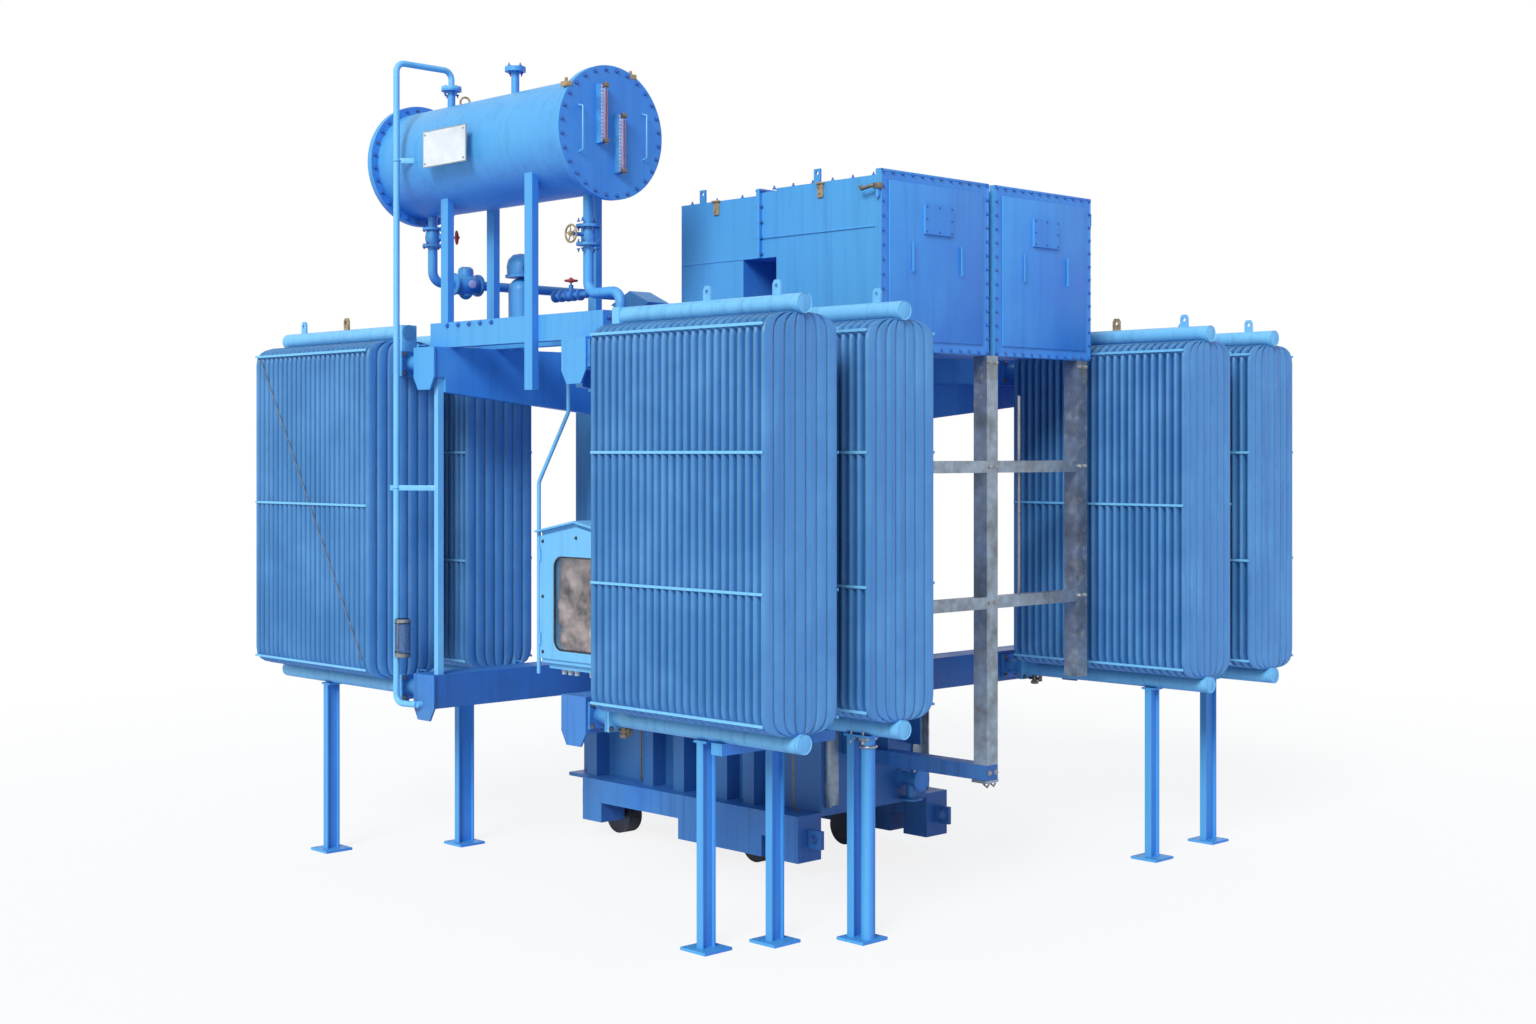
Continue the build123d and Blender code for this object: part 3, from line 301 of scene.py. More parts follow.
def bar(points, radius, sides=10):
    """A round bar along straight runs, with closed ends."""
    path = bpy.data.curves.new("bar", "CURVE")
    path.dimensions = "3D"
    path.bevel_depth = radius
    path.bevel_resolution = max(1, sides // 4)
    path.use_fill_caps = True
    run = path.splines.new("POLY")
    run.points.add(len(points) - 1)
    for corner, point in zip(run.points, points):
        corner.co = (*point, 1)
    linked("bar", path)
    bpy.ops.object.convert(target="MESH")
    return added()


def join(*things):
    pick(*things)
    bpy.ops.object.join()
    return added()


def smooth(thing, angle=32):
    pick(thing)
    bpy.ops.object.shade_smooth_by_angle(angle=radians(angle))
    return thing


def finished(thing, name, finish, stands_for=()):
    """Names a piece, paints it and fixes it to the machine."""
    thing.name = name
    thing.data.name = name
    thing.data.materials.clear()
    thing.data.materials.append(bpy.data.materials[finish])
    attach(thing, "root")
    if stands_for:
        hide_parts(*stands_for)


def joined(parts, name, finish, angle=32, stands_for=()):
    """One finished piece made of several parts."""
    finished(smooth(join(*parts), angle), name, finish, stands_for)


def bolt(radius, reach):
    """A hexagon nut on a washer, with its end of thread, pointing up from the origin."""
    washer = rod((0, 0, 0), (0, 0, radius * 0.22), radius * 1.32, 12, 0)
    head = rod((0, 0, radius * 0.2), (0, 0, radius * 0.95), radius, 6, 0)
    edit(head, lambda face: face.normal.z > 0.9)
    bpy.ops.mesh.inset(thickness=radius * 0.2, depth=radius * 0.14)
    close()
    thread = rod((0, 0, radius * 0.9), (0, 0, radius * reach), radius * 0.5, 8, 0.3)
    return join(head, washer, thread)


def bolts(name, places, radius, finish="fastener enamel", reach=1.5):
    """One piece of like bolts set down at many places, each a point and a direction."""
    pattern = bolt(radius, reach)
    points = np.array([(*point.co, 1) for point in pattern.data.vertices])
    faces = [tuple(face.vertices) for face in pattern.data.polygons]
    discard(pattern)
    all_points = []
    all_faces = []
    for index, (place, way) in enumerate(places):
        matrix = aimed(place, way) @ Matrix.Rotation(index * 0.7, 4, "Z")
        all_points += (points @ np.array(matrix).T)[:, :3].tolist()
        all_faces += [tuple(corner + index * len(points) for corner in face) for face in faces]
    mesh = bpy.data.meshes.new(name)
    mesh.from_pydata(all_points, [], all_faces)
    finished(smooth(linked(name, mesh)), name, finish)


def on_both_sides(make):
    """What a function makes for the near and for the far side, in one list."""
    return [part for side in SIDES for part in make(side)]


def facing(points, way):
    """Places for bolts: points that share a direction."""
    return [(point, way) for point in points]


def between(start, end, number):
    """Evenly spaced points from start to end."""
    start = Vector(start)
    end = Vector(end)
    return [start.lerp(end, i / (number - 1)) for i in range(number)]


def round_points(middle, axis, radius, number, turn=0.0):
    """Points on a circle about an axis."""
    side = axis.orthogonal().normalized()
    up = axis.normalized().cross(side)
    angles = [turn + 2 * pi * i / number for i in range(number)]
    return [Vector(middle) + side * radius * cos(a) + up * radius * sin(a) for a in angles]


def flange_places(middle, axis, radius, number, levels, turn=0.0):
    """Places for bolts round flanges, at levels along the axis that each say which way they point."""
    places = []
    for level, way in levels:
        points = round_points(Vector(middle) + axis * level, axis, radius, number, turn)
        places += facing(points, axis * way)
    return places


def border(x, y_pair, z_pair, across, upright):
    """Points along a rectangle's four sides in a plane of fixed x."""
    points = []
    for z in z_pair:
        points += between((x, y_pair[0], z), (x, y_pair[1], z), across)
    for y in y_pair:
        points += between((x, y, z_pair[0]), (x, y, z_pair[1]), upright)[1:-1]
    return points


def edging(across, upright, width):
    """The four strips along a rectangle's edges, each as its two ranges."""
    strips = [(across, (level, level + width)) for level in (upright[0], upright[1] - width)]
    return strips + [((start, start + width), upright) for start in (across[0], across[1] - width)]


def feed(tree, socket, value):
    """Links a socket to another one, or gives it a plain value."""
    if isinstance(value, bpy.types.NodeSocket):
        tree.links.new(value, socket)
    else:
        socket.default_value = value


def node(tree, kind, inputs=None, **settings):
    """A new shader node, set down beside the last one."""
    row, column = divmod(len(tree.nodes), 6)
    made = tree.nodes.new(kind)
    made.location = (column * 220 - 900, 300 - row * 320)
    for name, value in settings.items():
        setattr(made, name, value)
    for name, value in (inputs or {}).items():
        feed(tree, made.inputs[name], value)
    return made


def mixed(tree, share, first, second):
    """Mixes two colours."""
    return node(tree, "ShaderNodeMix", {0: share, 6: first, 7: second}, data_type="RGBA").outputs[2]


def blended(tree, share, first, second):
    """Mixes two shaders."""
    return node(tree, "ShaderNodeMixShader", {0: share, 1: first, 2: second}).outputs[0]


def reckoned(tree, operation, *values):
    """The result of a sum, a product or the like."""
    return node(tree, "ShaderNodeMath", dict(enumerate(values)), operation=operation).outputs[0]


def ranged(tree, source, low, high, out_low=0.0, out_high=1.0):
    """Stretches a value from one range to another, held at both ends."""
    inputs = {"Value": source, "From Min": low, "From Max": high, "To Min": out_low, "To Max": out_high}
    return node(tree, "ShaderNodeMapRange", inputs).outputs["Result"]


def noise(tree, coordinates, scale, detail, roughness):
    inputs = {"Vector": coordinates, "Scale": scale, "Detail": detail, "Roughness": roughness}
    return node(tree, "ShaderNodeTexNoise", inputs).outputs["Fac"]


def bumped(tree, height, strength):
    inputs = {"Strength": strength, "Distance": 0.002, "Height": height}
    return node(tree, "ShaderNodeBump", inputs).outputs["Normal"]


def object_place(tree):
    return node(tree, "ShaderNodeTexCoord").outputs["Object"]


def group(name, colours, values, masks=()):
    """A shader node group with named inputs, outputs for a finish, and its two end nodes."""
    tree = bpy.data.node_groups.new(name, "ShaderNodeTree")
    sockets = [(socket, "INPUT", "NodeSocketColor") for socket in colours]
    sockets += [(socket, "INPUT", "NodeSocketFloat") for socket in values]
    sockets += [("Color", "OUTPUT", "NodeSocketColor"), ("Roughness", "OUTPUT", "NodeSocketFloat")]
    sockets += [(socket, "OUTPUT", "NodeSocketFloat") for socket in masks]
    for socket, way, kind in sockets + [("Normal", "OUTPUT", "NodeSocketVector")]:
        tree.interface.new_socket(name=socket, in_out=way, socket_type=kind)
    return tree, node(tree, "NodeGroupInput").outputs, node(tree, "NodeGroupOutput").inputs


def make_enamel():
    """Enamel on steel: chalked patches, run-off streaks, specks and a fine orange-peel surface, with painted
    light on the side that faces the lamp (painted shade there on the panels) and painted shade with dust
    towards the ground.
    """
    tree, given, result = group(
        "Weathered enamel", ("Paint", "Lit side", "Faded", "Run-off and shade", "Grime"),
        ("Fade share", "Streak share", "Grime share", "Patch size", "Foot shade share"))
    where = node(tree, "ShaderNodeTexCoord").outputs
    place = where["Object"]
    # Painted light: faces turned towards the lamp take the lit-side colour.
    towards_painted_light = node(
        tree, "ShaderNodeVectorMath", {0: where["Normal"], 1: PAINTED_LIGHT_SIDE}, operation="DOT_PRODUCT")
    painted_light_share = ranged(tree, towards_painted_light.outputs["Value"], 0.0, 0.75)
    patch = noise(tree, place, given["Patch size"], 5.0, 0.6)
    upright = node(tree, "ShaderNodeMapping", {"Scale": (22.0, 22.0, 0.8), "Vector": place})
    streak = noise(tree, upright.outputs["Vector"], 1.0, 4.0, 0.6)
    speck = noise(tree, place, 46.0, 3.0, 0.7)
    peel = noise(tree, place, 260.0, 2.0, 0.5)
    height = node(tree, "ShaderNodeSeparateXYZ", {0: place}).outputs["Z"]
    fade = ranged(tree, patch, 0.42, 0.66, 0.0, given["Fade share"])
    # Painted shade, with dust: the enamel darkens towards the ground.
    low = ranged(tree, height, 1.25, 0.75, 0.0, given["Foot shade share"])
    run = ranged(tree, streak, 0.50, 0.70, 0.0, given["Streak share"])
    dirt = ranged(tree, speck, 0.62, 0.72, 0.0, given["Grime share"])
    tone = mixed(tree, painted_light_share, given["Paint"], given["Lit side"])
    coats = ((fade, "Faded"), (low, "Run-off and shade"), (run, "Run-off and shade"), (dirt, "Grime"))
    for share, coat in coats:
        tone = mixed(tree, share, tone, given[coat])
    feed(tree, result["Color"], tone)
    feed(tree, result["Roughness"], ranged(tree, patch, 0.3, 0.7, 0.36, 0.58))
    feed(tree, result["Normal"], bumped(tree, reckoned(tree, "MULTIPLY_ADD", speck, 0.5, peel), 0.12))


def make_bare_steel():
    """Steel without paint: spangle, stains and rust that has broken out in spots."""
    tree, given, result = group(
        "Bare steel", ("Metal", "Stain", "Rust"), ("Rust share", "Stain share", "Grain size"),
        ("Metal mask",))
    place = object_place(tree)
    spangle = node(tree, "ShaderNodeTexVoronoi", {"Vector": place, "Scale": given["Grain size"]})
    stain = noise(tree, place, 5.0, 6.0, 0.62)
    rust = noise(tree, place, 14.0, 6.0, 0.68)
    spangle_mask = ranged(tree, spangle.outputs["Distance"], 0.0, 0.8, 0.0, 0.35)
    stain_mask = ranged(tree, stain, 0.45, 0.65, 0.0, given["Stain share"])
    rust_mask = ranged(tree, rust, 0.52, 0.66, 0.0, given["Rust share"])
    tone = given["Metal"]
    for share, coat in ((spangle_mask, "Stain"), (stain_mask, "Stain"), (rust_mask, "Rust")):
        tone = mixed(tree, share, tone, given[coat])
    feed(tree, result["Color"], tone)
    feed(tree, result["Roughness"], ranged(tree, rust_mask, 0.0, 1.0, 0.42, 0.85))
    feed(tree, result["Metal mask"], ranged(tree, rust_mask, 0.0, 0.5, 0.85, 0.0))
    feed(tree, result["Normal"], bumped(tree, rust, 0.2))


def material(name, **sockets):
    """A material's node tree and its shader's sockets, with plain values set on the shader itself."""
    made = bpy.data.materials.new(name)
    made.use_nodes = True
    inputs = made.node_tree.nodes["Principled BSDF"].inputs
    for socket, value in sockets.items():
        inputs[socket.replace("_", " ")].default_value = value
    return made.node_tree, inputs


def grouped(name, effect_name, values):
    """A finish fed by a shared node group."""
    tree, sockets = material(name)
    effect = node(tree, "ShaderNodeGroup", values, node_tree=bpy.data.node_groups[effect_name])
    targets = {"Color": "Base Color", "Metal mask": "Metallic"}
    for output in effect.outputs:
        feed(tree, sockets[targets.get(output.name, output.name)], output)


def glass(name, tint):
    """Clear glass, faintly dusty in patches."""
    tree, sockets = material(name, IOR=1.47, Transmission_Weight=1.0, Base_Color=tint)
    dust = noise(tree, object_place(tree), 12.0, 5.0, 0.6)
    feed(tree, sockets["Roughness"], ranged(tree, dust, 0.4, 0.7, 0.04, 0.20))


def plain(name, tone, shade, scale, roughness):
    """A simple finish that varies between two tones."""
    tree, sockets = material(name)
    patch = noise(tree, object_place(tree), scale, 6.0, 0.6)
    feed(tree, sockets["Base Color"], mixed(tree, ranged(tree, patch, 0.42, 0.68), tone, shade))
    feed(tree, sockets["Roughness"], ranged(tree, patch, 0.3, 0.7, roughness - 0.1, roughness + 0.12))
    feed(tree, sockets["Normal"], bumped(tree, patch, 0.1))


class TRANSFORMER_OT_paint(bpy.types.Operator):
    """Paints the machine's own plates, pipes and castings"""

    bl_idname = "transformer.paint"
    bl_label = "Paint the frame"

    # Three colours: the enamel, its lit side (painted light, on the panels painted shade) and its chalked
    # tone; the shares of chalk, streaks and specks, the patch size and the share of painted shade with dust
    # at the foot
    enamels = {
        "body enamel": ("body", "body_lit_side", "body_faded", 0.35, 0.22, 0.2, 1.6, 0.0),
        # The tank walls take painted shade, with dust, towards the ground.
        "wall enamel": ("body", "body_lit_side", "body_faded", 0.35, 0.3, 0.3, 1.6, 0.72),
        "panel enamel": ("radiator", "radiator_lit_side", "radiator_faded", 0.45, 0.35, 0.2, 2.4, 0.0),
        "header enamel": ("light", "light_lit_side", "light_faded", 0.4, 0.25, 0.3, 2.0, 0.0),
        "cabinet enamel": ("light", "light_lit_side", "light_faded", 0.4, 0.15, 0.2, 2.2, 0.0),
        "base enamel": ("base", "base_lit_side", "body", 0.35, 0.5, 0.5, 2.6, 0.0),
        "casting enamel": ("body", "body_lit_side", "shade", 0.6, 0.4, 0.6, 9.0, 0.0),
        "fastener enamel": ("base", "body", "grime", 0.5, 0.3, 0.5, 20.0, 0.0),
        "handwheel enamel": ("red", "red", "rust", 0.5, 0.2, 0.3, 14.0, 0.0),
    }
    # Metal, then the shares of rust and stains, and the grain of the spangle
    steels = {
        "bolt steel": ((0.20, 0.25, 0.34, 1), 0.55, 0.5, 60.0),
        "bright steel": ((0.52, 0.53, 0.54, 1), 0.2, 0.3, 80.0),
        "stained steel": ((0.24, 0.20, 0.15, 1), 0.6, 0.6, 40.0),
        "roller steel": ((0.06, 0.075, 0.11, 1), 0.35, 0.6, 25.0),
    }
    glasses = {
        "window glass": (0.92, 0.95, 0.96, 1),
        "jar glass": (0.86, 0.93, 0.97, 1),
        "gauge glass": (0.90, 0.93, 0.94, 1),
    }
    # Tone, shade, scale of the patches and roughness
    plains = {
        "scale board": ((0.45, 0.50, 0.80, 1), (0.28, 0.36, 0.72, 1), 16.0, 0.5),
        "weathered lug": ((0.42, 0.31, 0.17, 1), (0.17, 0.11, 0.06, 1), 30.0, 0.7),
        "white plastic": ((0.72, 0.74, 0.74, 1), (0.45, 0.46, 0.45, 1), 12.0, 0.5),
        # The lining's near-black tone is painted shade in its folds.
        "cabinet lining": ((0.66, 0.50, 0.47, 1), (0.050, 0.035, 0.035, 1), 5.0, 0.6),
        "drying grains": ((0.10, 0.24, 0.52, 1), (0.05, 0.12, 0.34, 1), 90.0, 0.6),
    }
    coats = {
        "cabinet enamel": (
            "cabinet_body", "cabinet_door", "cabinet_roof", "conduit", "breather_pipe", "tie_posts",
            "panel_straps",
        ),
        "casting enamel": ("level_gauges", "radiator_valves", "gas_relay", "oil_valves"),
        # Painted shade: the lower collectors and the frame's arm take the dark base enamel for the shade they
        # stand in.
        "base enamel": ("skids", "tank_floor", "lower_collectors", "frame_arm"),
        "wall enamel": ("tank_wall_near", "tank_wall_cable_end", "tank_wall_plain_end"),
        "frame steel": ("frame_posts", "frame_rails"),
        "window glass": ("cabinet_window",),
        "jar glass": ("drying_jar",),
        "plate finish": ("plate",),
        "handwheel enamel": ("handwheel",),
        "roller steel": ("rollers",),
    }

    def make_finishes(self, colours):
        make_enamel()
        make_bare_steel()
        for name, (paint, lit_side, faded, fade, streak, grime, patch, low) in self.enamels.items():
            grouped(name, "Weathered enamel", {
                "Paint": getattr(colours, paint), "Lit side": getattr(colours, lit_side),
                "Faded": getattr(colours, faded), "Run-off and shade": colours.shade, "Grime": colours.grime,
                "Fade share": fade, "Streak share": streak, "Grime share": grime, "Patch size": patch,
                "Foot shade share": low,
            })
        steels = {"frame steel": (colours.zinc, 0.25, 0.55, 18.0), **self.steels}
        for name, (metal, rust, stain, grain) in steels.items():
            grouped(name, "Bare steel", {
                "Metal": metal, "Stain": colours.grime, "Rust": colours.rust, "Rust share": rust,
                "Stain share": stain, "Grain size": grain,
            })
        for name, tint in self.glasses.items():
            glass(name, tint)
        for name, values in self.plains.items():
            plain(name, *values)
        plain("plate finish", colours.plate, (0.60, 0.63, 0.66, 1), 3.5, 0.45)
        plain("seal rubber", colours.rubber, (0.07, 0.07, 0.075, 1), 20.0, 0.7)

    def execute(self, context):
        self.make_finishes(context.scene.paint_colours)
        coat_of = {name: coat for coat, names in self.coats.items() for name in names}
        for name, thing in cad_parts.items():
            coat = bpy.data.materials[coat_of.get(name, "body enamel")]
            if not thing.material_slots:
                thing.data.materials.append(coat)
            for place in thing.material_slots:
                place.material = coat
        return {"FINISHED"}


class TRANSFORMER_OT_radiators(bpy.types.Operator):
    """Eight radiators of pressed panels between round headers"""

    bl_idname = "transformer.radiators"
    bl_label = "Radiators"

    fan_shares = (1.0, 0.62, 0.36, 0.20)
    rise_shares = (0.68, 0.32)
    shoulder_power = 2.7
    cap_steps = ((0.005, -0.003), (0.006, 0.002))
    drop_box_half = 0.055
    drop_box_depth = 0.060
    lug_half = (0.028, 0.006)
    lug_taper_height = 0.020
    lug_taper = 0.55
    eye_radius = 0.012
    eye_drop = 0.032
    bare_lugs = ("radiator_plain_end_1", "radiator_cable_end_3")

    def panel(self, sizes):
        """One panel: flutes on both faces that run in towards the headers."""
        deselect()
        middle = (sizes.panel_high + sizes.panel_low) / 2
        bpy.ops.mesh.primitive_plane_add(
            size=1, location=(sizes.panel_edge / 2, 0, middle), rotation=(0, pi / 2, 0))
        sheet = added()
        sheet.scale = (sizes.panel_high - sizes.panel_low, sizes.panel_width, 1)
        settle(sheet)
        pitch = sizes.panel_width / sizes.flute_count
        start = -sizes.panel_width / 2
        cuts = [((0, start + index * pitch, 0), Y_AXIS) for index in range(1, sizes.flute_count)]
        for share in self.fan_shares:
            fan = sizes.fan_height * share
            cuts += [((0, 0, level), Z_AXIS) for level in (sizes.panel_low + fan, sizes.panel_high - fan)]
        edit(sheet)
        for place, across in cuts:
            select_all()
            bpy.ops.mesh.bisect(plane_co=place, plane_no=across)
        close()
        for index in range(sizes.flute_count):
            flute = start + (index + 0.5) * pitch
            edit(sheet, lambda face: abs(face.center.y - flute) < pitch / 4)
            for share in self.rise_shares:
                bpy.ops.mesh.inset(thickness=sizes.flute_slope, depth=sizes.flute_rise * share)
            close()
        self.run_in(sheet, sizes)
        edit(sheet, mode="EDGE")
        bpy.ops.mesh.select_all(action="DESELECT")
        bpy.ops.mesh.select_non_manifold()
        bpy.ops.mesh.extrude_edges_move(TRANSFORM_OT_translate={"value": (-sizes.panel_edge / 2, 0, 0)})
        close()
        modified(sheet, "MIRROR", use_axis=(True, False, False), merge_threshold=1e-5)
        edit(sheet)
        bpy.ops.mesh.remove_doubles(threshold=1e-5)
        face_outwards()
        close()
        return smooth(sheet, 50)

    def run_in(self, sheet, sizes):
        """Draws the ends of the panel and its flutes in to the header's neck, on a rounded shoulder."""
        for level in sorted({round(point.co.z, 5) for point in sheet.data.vertices}):
            reach = min(level - sizes.panel_low, sizes.panel_high - level)
            rise = min(1.0, 1 - reach / sizes.fan_height)
            if rise > 0:
                shoulder = (1 - rise ** self.shoulder_power) ** (1 / self.shoulder_power)
                edit(sheet, lambda point: abs(point.co.z - level) < 2e-5, "VERT")
                bpy.ops.transform.resize(
                    value=(1, max(sizes.neck_share, shoulder), 1), center_override=(0, 0, level))
                close()

    def header(self, sizes, height):
        """A round header with a welded cap."""
        pipe = rod((sizes.header_start, 0, height), (sizes.header_end, 0, height), sizes.header_radius, 32, 0)
        edit(pipe, lambda face: face.normal.x > 0.9)
        for thickness, depth in self.cap_steps:
            bpy.ops.mesh.inset(thickness=thickness, depth=depth)
        close()
        return pipe

    def lifting_lug(self, sizes, x):
        """A flat lug with an eye on the upper header."""
        foot = sizes.header_high + sizes.header_radius * 0.8
        top = sizes.header_high + sizes.header_radius + sizes.lug_height
        half, thick = self.lug_half
        eye = top - self.eye_drop
        lug = box((x - half, -thick, foot), (x + half, thick, top - self.lug_taper_height))
        edit(lug, lambda face: face.normal.z > 0.9)
        bpy.ops.mesh.extrude_region_move(TRANSFORM_OT_translate={"value": (0, 0, self.lug_taper_height)})
        bpy.ops.transform.resize(value=(self.lug_taper, 1, 1))
        close()
        hole = rod((x, -thick * 3, eye), (x, thick * 3, eye), self.eye_radius, 16, 0)
        modified(lug, "BOOLEAN", object=hole, operation="DIFFERENCE")
        discard(hole)
        return lug

    def fittings(self, sizes):
        """Both headers of one radiator with their valve seats, the drop box and the outer lug."""
        half = sizes.flange_side / 2
        seat = sizes.header_start - sizes.flange_thickness
        parts = [self.header(sizes, height) for height in (sizes.header_high, sizes.header_low)]
        drop = self.drop_box_half
        parts.append(box(
            (sizes.header_start, -drop, sizes.collector_height - drop),
            (sizes.header_start + self.drop_box_depth, drop, sizes.header_high + sizes.header_radius - 0.002),
            0.004))
        for height in (sizes.collector_height, sizes.header_low):
            parts.append(box((seat, -half, height - half), (sizes.header_start, half, height + half), 0.003))
        parts.append(self.lifting_lug(sizes, sizes.outer_lug))
        return smooth(join(*parts), 40)

    def execute(self, context):
        sizes = context.scene.radiator_sizes
        stack = modified(
            self.panel(sizes), "ARRAY", count=sizes.panel_count, use_relative_offset=False,
            use_constant_offset=True, constant_offset_displace=(sizes.panel_pitch, 0, 0))
        stack.location.x = sizes.stack_start + sizes.panel_edge / 2
        settle(stack)
        fittings = self.fittings(sizes)
        inner_lug = smooth(self.lifting_lug(sizes, sizes.inner_lug), 40)
        for end_name, way in ENDS.items():
            turn = Matrix.Rotation(0 if way > 0 else pi, 4, "Z")
            for number, y in enumerate(RADIATOR_ROWS, 1):
                name = f"radiator_{end_name}_{number}"
                lug_finish = "weathered lug" if name in self.bare_lugs else "header enamel"
                patterns = {
                    "pressed_panels": (stack, "panel enamel"), "headers": (fittings, "header enamel"),
                    "header_lug": (inner_lug, lug_finish),
                }
                for kind, (pattern, coat) in patterns.items():
                    made = linked(kind, pattern.data.copy())
                    made.data.transform(Matrix.Translation((0, y, 0)) @ turn)
                    finished(made, f"{kind}_{end_name}_{number}", coat, (name,))
        discard(stack, fittings, inner_lug)
        return {"FINISHED"}


class TRANSFORMER_OT_oil_vessel(bpy.types.Operator):
    """Flange bolts, level gauges, handles and plate screws of the oil vessel"""

    bl_idname = "transformer.oil_vessel"
    bl_label = "Oil vessel"

    gauge_offsets = ((-0.085, 0.095), (0.045, -0.060))
    handle_offsets = (-0.232, 0.232)
    clamp_offsets = ((0.163, 0.335), (-0.300, 0.238))
    low_nozzle_top = 4.800
    cover_thickness = 0.042
    plate_rim = 0.006
    plate_screw_inset = 0.022
    handle_run = ((0, -0.13), (0.035, -0.12), (0.035, 0.12), (0, 0.13))
    gauge_end = 0.155
    mark_count = 15
    mark_pitch = 0.020
    gauge_finishes = (
        ("scale board", "gauge_glass"), ("seal rubber", "gauge_glass"), ("handwheel enamel", "handwheel_red"),
        ("gauge glass", "gauge_glass"), ("stained steel", "valve_metal"),
    )

    def gauge(self, x, y, z):
        """One level gauge: a glass tube and its coloured column before a scale board, between two cocks."""
        axis = (x + 0.013, y + 0.006)
        marks = []
        for index in range(self.mark_count):
            level = z + (index - self.mark_count // 2) * self.mark_pitch
            marks.append(box((x + 0.002, y - 0.020, level), (x + 0.005, y - 0.008, level + 0.003), 0.0005))
        cocks = []
        for way in SIDES:
            end = z + way * self.gauge_end
            cocks.append(box((x, y - 0.012, end - 0.010), (x + 0.024, y + 0.022, end + 0.010), 0.003))
            cocks.append(upright_rod(*axis, end, end + way * 0.020, 0.006, 6))
        return {
            "board": box((x, y - 0.021, z - 0.160), (x + 0.003, y + 0.012, z + 0.160), 0.0008),
            "marks": join(*marks),
            "column": upright_rod(*axis, z - 0.145, z + 0.125, 0.0026, 12),
            "tube": upright_rod(*axis, z - 0.145, z + 0.145, 0.0075),
            "cocks": join(*cocks),
        }

    def plate_frame(self, sizes):
        """The plate's screws and its folded edge."""
        low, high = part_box("plate")
        rim = [box((x[0], low.y, z[0]), (x[1], low.y + 0.010, z[1]), 0.0015)
               for x, z in edging((low.x, high.x), (low.z, high.z), self.plate_rim)]
        joined(rim, "plate_edge", "bright steel")
        inset = self.plate_screw_inset
        corners = [(x, low.y, z) for x in (low.x + inset, high.x - inset)
                   for z in (low.z + inset, high.z - inset)]
        bolts("plate_screws", facing(corners, -Y_AXIS), sizes.screw, "bright steel")

    def pipe_bolts(self, sizes):
        """Bolts on the flanges of the two top nozzles and the pipes below the vessel."""
        low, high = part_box("top_nozzles")
        middle_y = (low.y + high.y) / 2
        places = []
        for x, z in ((high.x - 0.062, high.z), (low.x + 0.062, self.low_nozzle_top)):
            places += flange_places((x, middle_y, z), Z_AXIS, 0.047, 4, ((0, 1), (-0.028, -1)), 0.8)
        wheel_low, wheel_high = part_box("handwheel")
        valve = (wheel_low + wheel_high) / 2
        valve.y = middle_y
        levels = ((-0.044, 1), (-0.076, -1), (0.044, -1), (0.076, 1))
        places += flange_places(valve, Z_AXIS, 0.056, 6, levels)
        bolts("vessel_pipe_bolts", places, sizes.small, reach=2.6)

    def execute(self, context):
        sizes = context.scene.fastener_sizes
        low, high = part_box("conservator_covers")
        axis_y = (low.y + high.y) / 2
        axis_z = (low.z + high.z) / 2
        levels = (
            (high.x, 1), (high.x - self.cover_thickness, -1), (low.x, -1), (low.x + self.cover_thickness, 1))
        bolt_circle = (high.z - low.z) / 2 - 0.024
        places = flange_places((0, axis_y, axis_z), X_AXIS, bolt_circle, 28, levels)
        bolts("vessel_flange_bolts", places, sizes.flange)
        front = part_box("level_gauges")[1].x
        for number, (dy, dz) in enumerate(self.gauge_offsets, 1):
            parts = self.gauge(front, axis_y + dy, axis_z + dz)
            for (part, thing), (coat, slot) in zip(parts.items(), self.gauge_finishes):
                finished(smooth(thing), f"gauge_{part}_{number}", coat)
        handles = [bar([(high.x + dx, axis_y + dy, axis_z + dz) for dx, dz in self.handle_run], 0.0055)
                   for dy in self.handle_offsets]
        joined(handles, "vessel_cover_handles", "cabinet enamel", 60)
        clamps = [ring((-0.758, axis_y, axis_z + 0.350), (1, -1, 0), 0.028, 0.0065, 24, 10)]
        for dy, dz in self.clamp_offsets:
            at = Vector((high.x - 0.022, axis_y + dy, axis_z + dz))
            clamps.append(box(at - Vector((0.030, 0.022, 0.014)), at + Vector((0.026, 0.022, 0.014)), 0.004))
            clamps.append(rod(at + Vector((-0.004, 0, 0.010)), at + Vector((-0.004, 0, 0.036)), 0.009, 10))
        joined(clamps, "vessel_eye_and_clamps", "weathered lug")
        self.plate_frame(sizes)
        self.pipe_bolts(sizes)
        return {"FINISHED"}


